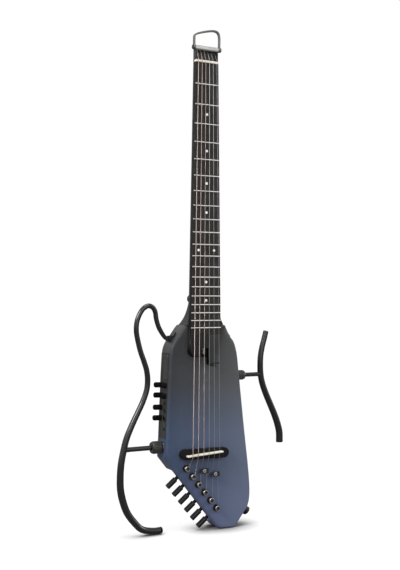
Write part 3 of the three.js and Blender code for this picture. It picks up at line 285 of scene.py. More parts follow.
def turned_aside(tree):
    """Mask of the faces that don't look to the guitar's front."""
    way = node(tree, "ShaderNodeNewGeometry").outputs["True Normal"]
    facing = node(tree, "ShaderNodeSeparateXYZ", {0: way}).outputs["Y"]
    return ranged(tree, facing, -0.6, -0.3)


def raise_grain(tree, shader, grain, bump):
    lift = node(tree, "ShaderNodeBump", {"Height": grain, "Strength": 1.0, "Distance": bump})
    tree.links.new(lift.outputs["Normal"], shader.inputs["Normal"])


def lay_surface(tree, shader, place, colour, roughness, grain, bump, edge_wear_and_glint=NO_WEAR):
    """Lighter edges, gloss and grain shared by the finishes; the lighter edges are wear, and on the post
    metal a painted glint. Colour and grain are sockets.
    """
    marks = grouped(tree, HANDLING, Place=place, Scale=HANDLING_SCALE)["Mask"]
    tree.links.new(ranged(tree, marks, 0, 1, *roughness), shader.inputs["Roughness"])
    edge_colour, edge_share = edge_wear_and_glint
    if edge_share > 0:
        edge = grouped(tree, LIGHTER_EDGE, Place=place)["Mask"]
        colour = mixed(tree, times(tree, edge, edge_share), colour, edge_colour)
    tree.links.new(colour, shader.inputs["Base Color"])
    raise_grain(tree, shader, grain, bump)


def finish(dark, light, roughness, metallic=0, scale=900, stretch=(1, 1, 1), bump=2e-5, edge_wear_and_glint=NO_WEAR,
           coat=0, specular=0.5, shaded_side_colour=None):
    values = {"Metallic": metallic, "Coat Weight": coat, "Coat Roughness": COAT_ROUGHNESS}
    values["Specular IOR Level"] = specular
    material, tree, shader = bare_material(values)
    place = object_place(tree)
    grain = grouped(tree, FINE_GRAIN, Place=place, Stretch=stretch, Scale=scale)
    colour = mixed(tree, grain["Mask"], dark, light)
    # Painted shade: faces turned from the front take a darker colour.
    if shaded_side_colour:
        colour = mixed(tree, turned_aside(tree), colour, shaded_side_colour)
    lay_surface(tree, shader, place, colour, roughness, grain["Height"], bump, edge_wear_and_glint)
    return material


# %% [markdown]
# The body's satin lacquer fades from charcoal at the shoulder to slate blue at the tip. A paler colour
# towards the treble side is a painted sheen that stands for light from the right. A colour ramp reads it
# from each point's own place, so it stays put when the guitar turns. The raised tongue is dark, and its
# steep walls are painted black as shade, by two masks: of depth, and of the way a face looks.

# %% Lacquer with its fade
FADE_TOP = 0.345
FADE_END = 0.025
FADE_STOPS = [
    (0.0, (0.013, 0.013, 0.013)),
    (0.30, (0.018, 0.021, 0.026)),
    (0.44, (0.024, 0.038, 0.068)),
    (0.56, (0.032, 0.054, 0.108)),
    (0.75, (0.028, 0.050, 0.112)),
    (1.0, (0.046, 0.068, 0.160)),
]
# Painted sheen: the paler colour towards the treble side stands for light from the right.
SHEEN_PAINT_TOP = (0.23, 0.23, 0.225)
SHEEN_PAINT_LOW = (0.28, 0.30, 0.37)
SHEEN_PAINT_HEIGHTS = (0.26, 0.15)
SHEEN_PAINT_SHARE = 0.29
SHEEN_PAINT_START = -0.12
SHEEN_PAINT_FULL = 0.045
SPECK_COLOUR = (0.30, 0.31, 0.34)
SPECK_SHARE = 0.10
SPECK_SCALE = 2200.0
RUBBED_COLOUR = (0.24, 0.26, 0.31)
RUBBED_SHARE = 0.3
FACE_DEPTH = -0.019
TONGUE_DEPTH = -0.0295
TONGUE_SHARE = 0.95
RAMP_START = -0.0425
RAMP_SHARE = 0.6
POCKET_EDGE = -0.0145
TONGUE_COLOUR = (0.012, 0.0118, 0.011)
WALL_SHADE_COLOUR = (0.002, 0.002, 0.002)


def fade_and_sheen_colour(tree, axes):
    """Charcoal to slate blue down the body, with a painted sheen that pales it to the treble side."""
    ramp = node(tree, "ShaderNodeValToRGB", {0: ranged(tree, axes["Z"], FADE_TOP, FADE_END)})
    stops = ramp.color_ramp.elements
    while len(stops) < len(FADE_STOPS):
        stops.new(0.5)
    for stop, (position, colour) in zip(stops, FADE_STOPS):
        stop.position = position
        stop.color = (*colour, 1)
    sheen_mask = ranged(tree, axes["X"], SHEEN_PAINT_START, SHEEN_PAINT_FULL, 0, SHEEN_PAINT_SHARE)
    sheen_colour = mixed(tree, ranged(tree, axes["Z"], *SHEEN_PAINT_HEIGHTS), SHEEN_PAINT_TOP, SHEEN_PAINT_LOW)
    return mixed(tree, sheen_mask, ramp.outputs["Color"], sheen_colour)


def lacquer_material():
    material, tree, shader = bare_material(
        {"Specular IOR Level": 0.14, "Coat Weight": 0.04, "Coat Roughness": 0.3}
    )
    place = object_place(tree)
    axes = node(tree, "ShaderNodeSeparateXYZ", {0: place}).outputs
    grain = grouped(tree, FINE_GRAIN, Place=place, Scale=SPECK_SCALE)
    speck = times(tree, grain["Mask"], SPECK_SHARE)
    rubbed = times(tree, grouped(tree, LIGHTER_EDGE, Place=place)["Mask"], RUBBED_SHARE)
    raised = ranged(tree, axes["Y"], FACE_DEPTH, TONGUE_DEPTH, 0, TONGUE_SHARE)
    on_ramp = ranged(tree, axes["X"], RAMP_START, RAMP_START + 0.001, 1, RAMP_SHARE)
    above_face = ranged(tree, axes["Y"], FACE_DEPTH - 0.0001, FACE_DEPTH - 0.0006)
    bass_side = ranged(tree, axes["X"], POCKET_EDGE, POCKET_EDGE + 0.0005, 1, 0)
    # Painted shade: on the bass side, steep walls above the face that don't look to the front are painted
    # black.
    wall = times(tree, times(tree, turned_aside(tree), above_face), bass_side)
    colour = fade_and_sheen_colour(tree, axes)
    for mask, laid in (
        (speck, SPECK_COLOUR),
        (rubbed, RUBBED_COLOUR),
        (times(tree, raised, on_ramp), TONGUE_COLOUR),
        (wall, WALL_SHADE_COLOUR),
    ):
        colour = mixed(tree, mask, colour, laid)
    lay_surface(tree, shader, place, colour, (0.36, 0.46), grain["Height"], 1.2e-5)
    return material


# %% [markdown]
# A bass string is a copper-coloured wrap on a steel core, so its colour and bump follow its own
# length through its UV map. Black wood has pores drawn out along the neck.


# %% Wrapped string, circuit board and neck
HEEL_COLOUR = (0.034, 0.034, 0.035)
HEEL_START = 0.395
HEEL_END = 0.352
PALE_WEAR = (0.42, 0.42, 0.42)
WOUND_TURNS = 700.0
WOUND_RELIEF = 8e-5
TRACK_SCALE = 160.0


def wound_material():
    material, tree, shader = bare_material({"Metallic": 1.0, "Roughness": 0.34})
    along = node(tree, "ShaderNodeUVMap", uv_map="UVMap").outputs["UV"]
    turns = grouped(tree, WINDING, Along=along, Turns=WOUND_TURNS)
    colour = mixed(tree, turns["Mask"], (0.18, 0.135, 0.128), (0.50, 0.41, 0.385))
    tree.links.new(colour, shader.inputs["Base Color"])
    raise_grain(tree, shader, turns["Height"], WOUND_RELIEF)
    return material


def circuit_board_material():
    material, tree, shader = bare_material({})
    place = object_place(tree)
    inputs = {"Vector": place, "Scale": TRACK_SCALE, "Mortar Size": 0.05, "Mortar Smooth": 0.1}
    tracks = node(tree, "ShaderNodeTexBrick", inputs).outputs["Fac"]
    colour = mixed(tree, tracks, (0.012, 0.070, 0.026), (0.20, 0.24, 0.09))
    lay_surface(tree, shader, place, colour, (0.42, 0.55), tracks, 3e-5)
    return material


def neck_material():
    """Near black, going over to the body's charcoal down the heel."""
    material = finish((0.004, 0.004, 0.0041), (0.009, 0.009, 0.0092), (0.38, 0.48), scale=1500, bump=8e-6,
                      edge_wear_and_glint=(PALE_WEAR, 0.06), specular=0.08)
    tree = material.node_tree
    base = tree.nodes["Principled BSDF"].inputs["Base Color"]
    height = node(tree, "ShaderNodeSeparateXYZ", {0: object_place(tree)}).outputs["Z"]
    heel = ranged(tree, height, HEEL_START, HEEL_END)
    tree.links.new(mixed(tree, heel, base.links[0].from_socket, HEEL_COLOUR), base)
    return material


# %% All finishes
ALONG_NECK = (1, 1, 0.06)
BRUSHED = (0.06, 1, 1)

FINISHES = {
    "body_lacquer": lacquer_material(),
    "neck_satin": neck_material(),
    "string_wound": wound_material(),
    "circuit_board": circuit_board_material(),
    # The fretboard's side faces carry the same painted shade as the tongue's walls.
    "fretboard_black": finish(
        (0.008, 0.0074, 0.0066), (0.027, 0.0246, 0.0215), (0.50, 0.64), scale=700, stretch=ALONG_NECK,
        bump=2.5e-5, edge_wear_and_glint=((0.10, 0.09, 0.08), 0.3), specular=0.12, shaded_side_colour=WALL_SHADE_COLOUR
    ),
    "fret_metal": finish(
        (0.84, 0.83, 0.80), (0.93, 0.92, 0.90), (0.22, 0.34), metallic=1, scale=500, stretch=(0.05, 1, 1),
        bump=4e-6
    ),
    "inlay_white": finish(
        (0.76, 0.75, 0.72), (0.87, 0.86, 0.84), (0.22, 0.32), scale=420, bump=4e-6, coat=0.3
    ),
    "bone_white": finish(
        (0.70, 0.655, 0.53), (0.83, 0.79, 0.68), (0.30, 0.44), scale=600, stretch=(0.2, 1, 1), bump=1e-5,
        edge_wear_and_glint=((0.88, 0.85, 0.77), 0.3)
    ),
    "bright_steel": finish((0.60, 0.60, 0.61), (0.72, 0.72, 0.73), (0.10, 0.20), metallic=1, bump=3e-6),
    "bridge_black": finish(
        (0.003, 0.003, 0.0032), (0.008, 0.0078, 0.008), (0.45, 0.58), stretch=(0.1, 1, 1), bump=1.5e-5,
        edge_wear_and_glint=((0.05, 0.05, 0.05), 0.3), specular=0.12
    ),
    "string_plain": finish(
        (0.30, 0.30, 0.30), (0.40, 0.40, 0.395), (0.42, 0.52), metallic=1, scale=2000, bump=2e-6
    ),
    "dark_bronze": finish(
        (0.018, 0.014, 0.012), (0.036, 0.027, 0.023), (0.28, 0.40), metallic=0.8, scale=800, bump=8e-6,
        edge_wear_and_glint=((0.30, 0.24, 0.20), 0.35), specular=0.3
    ),
    # The post metal's strong, near white lighter edges are a painted glint on the rims.
    "post_metal": finish(
        (0.060, 0.057, 0.054), (0.10, 0.095, 0.09), (0.16, 0.24), metallic=1, bump=5e-6,
        edge_wear_and_glint=((0.75, 0.74, 0.72), 0.7)
    ),
    "light_alloy": finish(
        (0.30, 0.30, 0.29), (0.40, 0.40, 0.39), (0.30, 0.42), metallic=0.9, scale=1400, stretch=BRUSHED,
        bump=1e-5, edge_wear_and_glint=((0.62, 0.62, 0.61), 0.4)
    ),
    "loop_metal": finish(
        (0.08, 0.08, 0.079), (0.13, 0.13, 0.128), (0.28, 0.38), metallic=0.9, scale=1400, stretch=BRUSHED,
        bump=1e-5, edge_wear_and_glint=((0.50, 0.50, 0.49), 0.4)
    ),
    "frame_tube": finish(
        (0.002, 0.002, 0.0021), (0.005, 0.005, 0.0052), (0.20, 0.27), scale=1700, bump=8e-6,
        edge_wear_and_glint=((0.26, 0.26, 0.27), 0.3)
    ),
    "knob_gloss": finish(
        (0.003, 0.003, 0.0028), (0.006, 0.006, 0.0057), (0.18, 0.26), scale=1500, bump=1e-5,
        edge_wear_and_glint=((0.07, 0.07, 0.07), 0.3), specular=0.22
    ),
    "collar_grey": finish(
        (0.016, 0.0155, 0.0125), (0.026, 0.025, 0.021), (0.32, 0.44), scale=1500, bump=1.6e-5,
        edge_wear_and_glint=((0.10, 0.10, 0.09), 0.35), specular=0.35
    ),
    "panel_grey": finish(
        (0.016, 0.0163, 0.0138), (0.027, 0.0275, 0.024), (0.44, 0.58), scale=1500, bump=1.6e-5,
        edge_wear_and_glint=((0.10, 0.10, 0.09), 0.3), specular=0.25
    ),
    "black_plastic": finish(
        (0.005, 0.005, 0.0048), (0.010, 0.010, 0.0096), (0.34, 0.48), scale=1500, bump=1.6e-5,
        edge_wear_and_glint=((0.07, 0.07, 0.07), 0.35), specular=0.22
    ),
    "black_rubber": finish(
        (0.0015, 0.0015, 0.0015), (0.004, 0.004, 0.004), (0.55, 0.75), scale=1100, bump=2.5e-5,
        edge_wear_and_glint=((0.03, 0.03, 0.03), 0.3), specular=0.06
    ),
    "battery_case": finish(
        (0.020, 0.021, 0.024), (0.030, 0.031, 0.034), (0.25, 0.35), scale=300, bump=6e-6, coat=0.3
    ),
}
for finish_name, material in FINISHES.items():
    material.name = finish_name
print("finishes:", len(FINISHES))

# %% [markdown]
# Pieces are drawn in millimetres, in the guitar's own frame or in one along the slanted tail or the
# bass side wall. A matrix takes the drawn mesh to its place in metres, and the object stays at the
# origin.

# %% Frames of the guitar
MM = 0.001
FOOT_MIDDLE = 49.35
GAP = 0.3
SLANT_RISE = 126.0
SLANT_RUN = 101.2
BASS_REACH = 67.5
WALL_RISE = 171.0
WALL_LEAN = 6.2
PANEL_MIDDLE = 229.5
BRIDGE_HEIGHT = 132.0
SADDLE_LEAN = 3.0
SADDLE_SPREAD = 51.0


def own_frame(origin=(0, 0, 0), angle=0.0):
    shift = Matrix.Translation((origin[0] - FOOT_MIDDLE, origin[1], origin[2]))
    return Matrix.Scale(MM, 4) @ shift @ Matrix.Rotation(angle, 4, "Y")


def wall_x(height):
    """Where the leaning wall of the bass side stands at a height."""
    return -BASS_REACH + (height - SLANT_RISE) * WALL_LEAN / WALL_RISE


def aimed(origin, direction):
    """Matrix that turns +Z to a direction and moves the origin to a place."""
    turned = Vector(direction).to_track_quat("Z", "Y").to_matrix().to_4x4()
    return Matrix.Translation(Vector(origin)) @ turned


GUITAR = own_frame()
TAIL_ANGLE = math.atan2(SLANT_RISE, SLANT_RUN)
TAIL = own_frame((-BASS_REACH, 0, SLANT_RISE), TAIL_ANGLE)
SIDE = own_frame((wall_x(PANEL_MIDDLE), 0, PANEL_MIDDLE), math.atan2(WALL_LEAN, WALL_RISE))
BRIDGE_TILT = -math.atan2(SADDLE_LEAN, SADDLE_SPREAD)

# %% [markdown]
# Every piece ends with smooth shading that keeps its real edges, a material, and the words that tie it
# to the frame. Weighted normals keep a large flat face flat beside a small rounding.


# %% Finish a piece
SHARP_ANGLE = math.radians(38)
made_pieces = []


def mesh_from(shell, name):
    """Mesh of a drawn shell, with all its faces turned outwards."""
    bmesh.ops.recalc_face_normals(shell, faces=shell.faces)
    mesh = bpy.data.meshes.new(name)
    shell.to_mesh(mesh)
    shell.free()
    return mesh


def placed(mesh, place):
    mesh.transform(place)
    return object_from(mesh, mesh.name)


def apply_modifiers(piece):
    graph = bpy.context.evaluated_depsgraph_get()
    changed = bpy.data.meshes.new_from_object(piece.evaluated_get(graph))
    piece.modifiers.clear()
    old = piece.data
    piece.data = changed
    bpy.data.meshes.remove(old)


def modified(piece, kind, **settings):
    """Changes the piece's mesh for good by one modifier."""
    tool = piece.modifiers.new("tool", kind)
    for key, value in settings.items():
        setattr(tool, key, value)
    apply_modifiers(piece)


def bevel_edges(piece, width, steps, angle):
    """Breaks the edges that are sharper than an angle in degrees."""
    limit = math.radians(angle)
    modified(piece, "BEVEL", width=width, segments=steps, limit_method="ANGLE", angle_limit=limit)


def combined(piece, other, operation):
    """The piece with another closed shell added or cut away, and that shell removed."""
    modified(piece, "BOOLEAN", operation=operation, solver="EXACT", object=other)
    bpy.data.objects.remove(other)


def shaded(mesh, sharp=SHARP_ANGLE):
    mesh.shade_smooth()
    mesh.set_sharp_from_angle(angle=sharp)


def settle(piece, finish_name, node_name):
    """Gives a piece its finish and the body of its CAD node, and hides that node."""
    piece.data.materials.clear()
    piece.data.materials.append(FINISHES[finish_name])
    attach(piece, body_of[node_name])
    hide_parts(node_name)
    made_pieces.append(piece.name)


def dressed(piece, finish_name, node_name, sharp=SHARP_ANGLE):
    shaded(piece.data, sharp)
    modified(piece, "WEIGHTED_NORMAL", keep_sharp=True)
    settle(piece, finish_name, node_name)


# %% [markdown]
# Where the CAD shape is right, a piece is a copy of it. Its loose triangles are merged, flat areas are
# made whole again, and a small bevel breaks the edges.


# %% Copy a CAD node and break its edges
SAME_PLACE = 2e-6
FLAT_ANGLE = math.radians(0.4)


def softened(node_name, finish_name, bevel=0.0, steps=2, sharp=SHARP_ANGLE):
    mesh = frame["nodes"][node_name].data.copy()
    shell = bmesh.new()
    shell.from_mesh(mesh)
    bmesh.ops.remove_doubles(shell, verts=shell.verts, dist=SAME_PLACE)
    bmesh.ops.dissolve_limit(shell, angle_limit=FLAT_ANGLE, verts=shell.verts, edges=shell.edges)
    shell.to_mesh(mesh)
    shell.free()
    piece = object_from(mesh, f"{node_name}_finished")
    if bevel > 0:
        bevel_edges(piece, bevel * MM, steps, angle=34)
    dressed(piece, finish_name, node_name, sharp=sharp)


# %% [markdown]
# Knobs, posts, collars, ferrules, jacks and strap buttons are profiles of radius and height, with
# rounded corners, swung round an axis. Flutes come from a radius that changes with the angle.


# %% Turned parts
def rounded_line(line, radius, steps=3):
    """The same line with each inner corner replaced by a short bend."""
    points = [Vector(point) for point in line]
    rounded = [points[0]]
    for before, corner, after in zip(points, points[1:], points[2:]):
        back = before - corner
        onward = after - corner
        reach = min(radius, back.length * 0.45, onward.length * 0.45)
        start = corner + back.normalized() * reach
        end = corner + onward.normalized() * reach
        for step in range(steps + 1):
            share = step / steps
            rounded.append(start.lerp(corner, share).lerp(corner.lerp(end, share), share))
    rounded.append(points[-1])
    return rounded


def turned_ring(shell, radius, height, sides, flutes, depth, span):
    if radius < 1e-6:
        return [shell.verts.new((0, 0, height))]
    fluted = flutes and span[0] <= height <= span[1]
    ring = []
    for side in range(sides):
        angle = 2 * math.pi * side / sides
        reach = radius - (depth * (0.5 + 0.5 * math.cos(flutes * angle)) if fluted else 0)
        ring.append(shell.verts.new((reach * math.cos(angle), reach * math.sin(angle), height)))
    return ring


def turned_mesh(name, profile, sides=40, flutes=0, depth=0.0, span=(0, 0)):
    """Closed shell round +Z. A profile that starts and ends off the axis is a ring."""
    shell = bmesh.new()
    rings = [turned_ring(shell, *point, sides, flutes, depth, span) for point in profile]
    if len(rings[0]) > 1 and len(rings[-1]) > 1:
        rings.append(rings[0])
    for low, high in zip(rings, rings[1:]):
        for side in range(sides):
            steps = ((low, side), (low, side + 1), (high, side + 1), (high, side))
            corners = [ring[step % len(ring)] for ring, step in steps]
            distinct = list(dict.fromkeys(corners))
            if len(distinct) > 2:
                shell.faces.new(distinct)
    return mesh_from(shell, name)


def turned(name, profile, place, finish_name, node_name, rounding, slot=None, **shape):
    mesh = turned_mesh(name, rounded_line(profile, rounding), **shape)
    dressed(placed(mesh, place), finish_name, node_name)


# %% [markdown]
# Tubes and strings are circles carried along a path, with the radius free to change. The path bends
# through its points by the centripetal rule that the CAD uses too, so both follow the same line.


# %% Swept tubes
def centripetal_path(points, per_span=16):
    """Points along a smooth curve through the given ones."""
    points = [Vector(point) for point in points]
    ends = [points[0] * 2 - points[1], *points, points[-1] * 2 - points[-2]]
    path = []
    for a, b, c, d in zip(ends, ends[1:], ends[2:], ends[3:]):
        first = math.sqrt((b - a).length)
        middle = math.sqrt((c - b).length)
        last = math.sqrt((d - c).length)
        leave = ((b - a) / first - (c - a) / (first + middle) + (c - b) / middle) * middle
        arrive = ((c - b) / middle - (d - b) / (middle + last) + (d - c) / last) * middle
        for step in range(per_span):
            t = step / per_span
            path.append(
                b * (2 * t**3 - 3 * t**2 + 1)
                + leave * (t**3 - 2 * t**2 + t)
                + c * (3 * t**2 - 2 * t**3)
                + arrive * (t**3 - t**2)
            )
    path.append(points[-1])
    return path


def even_path(path, count):
    """The same line with count equal steps."""
    lengths = [0.0]
    for start, end in zip(path, path[1:]):
        lengths.append(lengths[-1] + (end - start).length)
    even = []
    span = 0
    for step in range(count + 1):
        wanted = lengths[-1] * step / count
        while span < len(path) - 2 and lengths[span + 1] < wanted:
            span += 1
        share = (wanted - lengths[span]) / (lengths[span + 1] - lengths[span])
        even.append(path[span].lerp(path[span + 1], min(1.0, share)))
    return even


def neighbours(line, i):
    return line[max(0, i - 1)], line[min(len(line) - 1, i + 1)]


def close_rings(shell, rings):
    """Side faces from ring to ring, which are returned in order, and a flat face at both ends."""
    sides = len(rings[0])
    faces = []
    for low, high in zip(rings, rings[1:]):
        for side in range(sides):
            after = (side + 1) % sides
            faces.append(shell.faces.new((low[side], low[after], high[after], high[side])))
    shell.faces.new(rings[0][::-1])
    shell.faces.new(rings[-1])
    return faces


def swept_mesh(name, path, radii, sides=28):
    """Closed tube along a path, with a flat end at both ends and a UV map along it."""
    shell = bmesh.new()
    uv = shell.loops.layers.uv.new("UVMap")
    rings = []
    travelled = [0.0]
    for i, centre in enumerate(path):
        before, after = neighbours(path, i)
        if i:
            travelled.append(travelled[-1] + (centre - before).length)
        along = (after - before).normalized()
        across = along.cross(Vector((0, 1, 0))).normalized()
        up = across.cross(along).normalized()
        ring = []
        for side in range(sides):
            angle = 2 * math.pi * side / sides
            offset = across * math.cos(angle) + up * math.sin(angle)
            ring.append(shell.verts.new(centre + offset * radii[i]))
        rings.append(ring)
    for number, face in enumerate(close_rings(shell, rings)):
        i, side = divmod(number, sides)
        corners = [(i, side), (i, side + 1), (i + 1, side + 1), (i + 1, side)]
        for loop, (ring_index, turn_index) in zip(face.loops, corners):
            loop[uv].uv = (travelled[ring_index] * MM, turn_index / sides)
    return mesh_from(shell, name)


def swept(name, path, radii):
    return object_from(swept_mesh(name, path, radii), name)


# %% [markdown]
# Geometry Nodes place what repeats: bars laid across a run of points, for frets and grip ridges; studs
# on points, for inlaid dots; ribs round a ring, for collars and knobs; and screw heads with a cross.


# %% Geometry Nodes helpers
def result(tree, kind, inputs, **settings):
    return node(tree, kind, inputs, **settings).outputs[0]


def vector(tree, x, y, z):
    return result(tree, "ShaderNodeCombineXYZ", {"X": x, "Y": y, "Z": z})


def geometry_tree(name, inputs, build):
    """Tree that sets out the instances build asks for, as real geometry of one material."""
    tree = bpy.data.node_groups.new(name, "GeometryNodeTree")
    tree.is_modifier = True
    tree.interface.new_socket("Geometry", in_out="INPUT", socket_type="NodeSocketGeometry")
    for label, value in inputs.items():
        kind = "NodeSocketInt" if isinstance(value, int) else "NodeSocketFloat"
        tree.interface.new_socket(label, in_out="INPUT", socket_type=kind).default_value = value
    tree.interface.new_socket("Material", in_out="INPUT", socket_type="NodeSocketMaterial")
    tree.interface.new_socket("Geometry", in_out="OUTPUT", socket_type="NodeSocketGeometry")
    given = node(tree, "NodeGroupInput").outputs
    instances = result(tree, "GeometryNodeInstanceOnPoints", build(tree, given))
    real = result(tree, "GeometryNodeRealizeInstances", {"Geometry": instances})
    coated = result(tree, "GeometryNodeSetMaterial", {"Geometry": real, "Material": given["Material"]})
    node(tree, "NodeGroupOutput", {0: coated})
    return tree


def named_value(tree, label, kind):
    found = node(tree, "GeometryNodeInputNamedAttribute", {"Name": label}, data_type=kind)
    return found.outputs["Attribute"]


def point_mesh(name, points, **values):
    """Loose points, each with its own named values."""
    mesh = bpy.data.meshes.new(name)
    mesh.from_pydata([tuple(point) for point in points], [], [])
    for label, given in values.items():
        many = hasattr(given[0], "__len__")
        attribute = mesh.attributes.new(label, "FLOAT_VECTOR" if many else "FLOAT", "POINT")
        for item, value in zip(attribute.data, given):
            setattr(item, "vector" if many else "value", value)
    return mesh


def grown(mesh, tree, place, finish_name, node_name, **values):
    """Runs a tree on a mesh, turns the result into a plain mesh and settles it."""
    piece = object_from(mesh, mesh.name)
    tool = piece.modifiers.new("tree", "NODES")
    tool.node_group = tree
    values["Material"] = FINISHES[finish_name]
    for socket in tree.interface.items_tree:
        if socket.in_out == "INPUT" and socket.name in values:
            tool[socket.identifier] = values[socket.name]
    apply_modifiers(piece)
    piece.data.transform(place)
    shaded(piece.data)
    settle(piece, finish_name, node_name)


# %% Trees for bars, studs, ribs and screws
def bars(tree, given):
    """Rounded bars along X, one on each point, as long as the point's own half length says."""
    line = result(tree, "GeometryNodeCurvePrimitiveLine", {"Start": (-1, 0, 0), "End": (1, 0, 0)})
    circle = result(tree, "GeometryNodeCurvePrimitiveCircle", {"Resolution": 20, "Radius": 1.0})
    size = vector(tree, times(tree, given["Width"], 0.5), given["Rise"], 1.0)
    oval = result(tree, "GeometryNodeTransform", {"Geometry": circle, "Scale": size})
    curves = {"Curve": line, "Profile Curve": oval, "Fill Caps": True}
    bar = result(tree, "GeometryNodeCurveToMesh", curves)
    stretch = vector(tree, named_value(tree, "half_length", "FLOAT"), 1.0, 1.0)
    return {"Points": given["Geometry"], "Instance": bar, "Scale": stretch}


def studs(tree, given):
    """Round studs along Y, one on each point."""
    size = {"Vertices": 32, "Radius": given["Radius"], "Depth": given["Height"]}
    stud = result(tree, "GeometryNodeMeshCylinder", size)
    return {"Points": given["Geometry"], "Instance": stud, "Rotation": (math.radians(90), 0, 0)}


def ribs(tree, given):
    """Round ribs along Z, spaced evenly on a ring."""
    ring = result(tree, "GeometryNodeMeshCircle", {"Vertices": given["Count"], "Radius": given["Ring"]})
    size = {"Vertices": 10, "Radius": given["Rib"], "Depth": given["Length"]}
    return {"Points": ring, "Instance": result(tree, "GeometryNodeMeshCylinder", size)}


def screws(tree, given):
    """Screw heads with a cross, each turned to its own axis and scaled to its own size."""
    rise = given["Rise"]
    size = {"Vertices": 28, "Radius Top": 0.72, "Radius Bottom": 1.0, "Depth": rise}
    crossed = node(tree, "GeometryNodeMeshBoolean", operation="DIFFERENCE")
    tree.links.new(result(tree, "GeometryNodeMeshCone", size), crossed.inputs["Mesh 1"])
    top = vector(tree, 0, 0, times(tree, rise, 0.95))
    for sides in ((1.15, given["Slot"]), (given["Slot"], 1.15)):
        cube = result(tree, "GeometryNodeMeshCube", {"Size": vector(tree, *sides, rise)})
        cutter = result(tree, "GeometryNodeTransform", {"Geometry": cube, "Translation": top})
        tree.links.new(cutter, crossed.inputs["Mesh 2"])
    axis = named_value(tree, "axis", "FLOAT_VECTOR")
    facing = result(tree, "FunctionNodeAlignRotationToVector", {"Vector": axis}, axis="Z")
    return {
        "Points": given["Geometry"],
        "Instance": crossed.outputs[0],
        "Rotation": facing,
        "Scale": named_value(tree, "size", "FLOAT"),
    }


BARS = geometry_tree("bars on points", {"Width": 2.2, "Rise": 1.0}, bars)
STUDS = geometry_tree("studs on points", {"Radius": 2.2, "Height": 1.0}, studs)
RIBS = geometry_tree("ribs round a ring", {"Count": 24, "Ring": 9.0, "Rib": 0.6, "Length": 10.0}, ribs)
SCREWS = geometry_tree("cross screws", {"Rise": 0.5, "Slot": 0.26}, screws)
print("trees:", BARS.name, STUDS.name, RIBS.name, SCREWS.name)

# %% [markdown]
# The body and the neck are copies of the CAD shells, only smoothed, because their edges are rounded
# there already.

# %% Body, neck and back cover
softened("body", "body_lacquer", sharp=math.radians(40))
softened("neck", "neck_satin", sharp=math.radians(34))
softened("back_cover", "black_plastic", bevel=0.5)
softened("head_block", "black_plastic", bevel=0.5)
print("body, neck, cover and head block:", made_pieces)

# %% [markdown]
# The fretboard is a tapered slab. Its frets sit where a 648 mm scale puts them, so the bars tree lays
# them across a run of points that carry the board's half width. The position dots are flat studs.

# %% Fretboard, frets and dots
NUT_HEIGHT = 787.0
SCALE_LENGTH = 648.0
FRET_COUNT = 20
BOARD_TOP = -30.5
BOARD_BOTTOM = -24.5
BOARD_END = 332.0
NUT_WIDTH = 43.0
BOARD_END_WIDTH = 56.3
NUT_THICKNESS = 3.5
DOT_SPREAD = 14.5
DOT_FRETS = {3: 1, 5: 1, 7: 1, 9: 1, 12: 2, 15: 1, 17: 1}
DOT_SINK = 0.35


def fret_height(fret):
    return NUT_HEIGHT - SCALE_LENGTH * (1 - 2 ** (-fret / 12))


LAST_FRET = fret_height(FRET_COUNT)


def board_half(height):
    share = min(1.0, (NUT_HEIGHT - height) / (NUT_HEIGHT - LAST_FRET))
    return (NUT_WIDTH + (BOARD_END_WIDTH - NUT_WIDTH) * share) / 2


def slab(name, outline, front, rear, bevel, finish_name, node_name, steps=2):
    """Settles a closed slab between two depths, drawn by its outline in X and Z."""
    shell = bmesh.new()
    near = [shell.verts.new((x, front, z)) for x, z in outline]
    far = [shell.verts.new((x, rear, z)) for x, z in outline]
    shell.faces.new(near)
    shell.faces.new(list(reversed(far)))
    for i in range(len(outline)):
        after = (i + 1) % len(outline)
        shell.faces.new((near[after], near[i], far[i], far[after]))
    piece = placed(mesh_from(shell, name), GUITAR)
    bevel_edges(piece, bevel * MM, steps, angle=30)
    dressed(piece, finish_name, node_name)


board_start = NUT_HEIGHT - GAP
board_side = [(board_half(height), height) for height in (board_start, LAST_FRET, BOARD_END)]
board_outline = [(-board_half(board_start), board_start), *board_side]
board_outline += [(-x, z) for x, z in board_side[:0:-1]]
slab("fretboard_wood", board_outline, BOARD_TOP, BOARD_BOTTOM, 0.5, "fretboard_black", "fretboard")

fret_heights = [fret_height(fret) for fret in range(1, FRET_COUNT + 1)]
fret_halves = [board_half(height) - GAP for height in fret_heights]
fret_places = [(0, BOARD_TOP, height) for height in fret_heights]
fret_points = point_mesh("frets", fret_places, half_length=fret_halves)
# The bar's profile lies in Y and Z after the sweep: its rise is across Y
grown(fret_points, BARS, GUITAR, "fret_metal", "fretboard", Width=2.2, Rise=0.95)

dot_places = []
for fret, count in DOT_FRETS.items():
    height = (fret_height(fret) + fret_height(fret - 1)) / 2
    across = [0.0] if count == 1 else [-DOT_SPREAD, DOT_SPREAD]
    dot_places += [(x, BOARD_TOP + DOT_SINK, height) for x in across]
dot_points = point_mesh("position_dots", dot_places)
grown(dot_points, STUDS, GUITAR, "inlay_white", "fretboard", Radius=2.25, Height=0.8)
print("frets:", len(fret_heights), "dots:", len(dot_places))

# %% [markdown]
# The pocket at the tongue's end gets a black sheet on its floor as painted shade. Flat black strips lie
# on the face where the tongue and the ramp step down to it, as painted shadow lines.

# %% Painted shade in the pocket and shadow strips
TONGUE_LEFT = -28.15
TONGUE_STEP = 295.3
TONGUE_CORNER = 12
POCKET = [(-8.1, TONGUE_STEP - 0.8), (7.2, TONGUE_STEP - 0.8), (7.2, 308.4), (-8.1, 308.4)]
RAMP_LINE = [(8.6, 281.2), (11, 280.6), (15, 279.6), (20, 278.3), (27, 277.2)]
SHADE_SHEET_FRONT = -19.25
SHADOW_STRIP_REAR = -18.95
POCKET_SHEET_REAR = -18.72


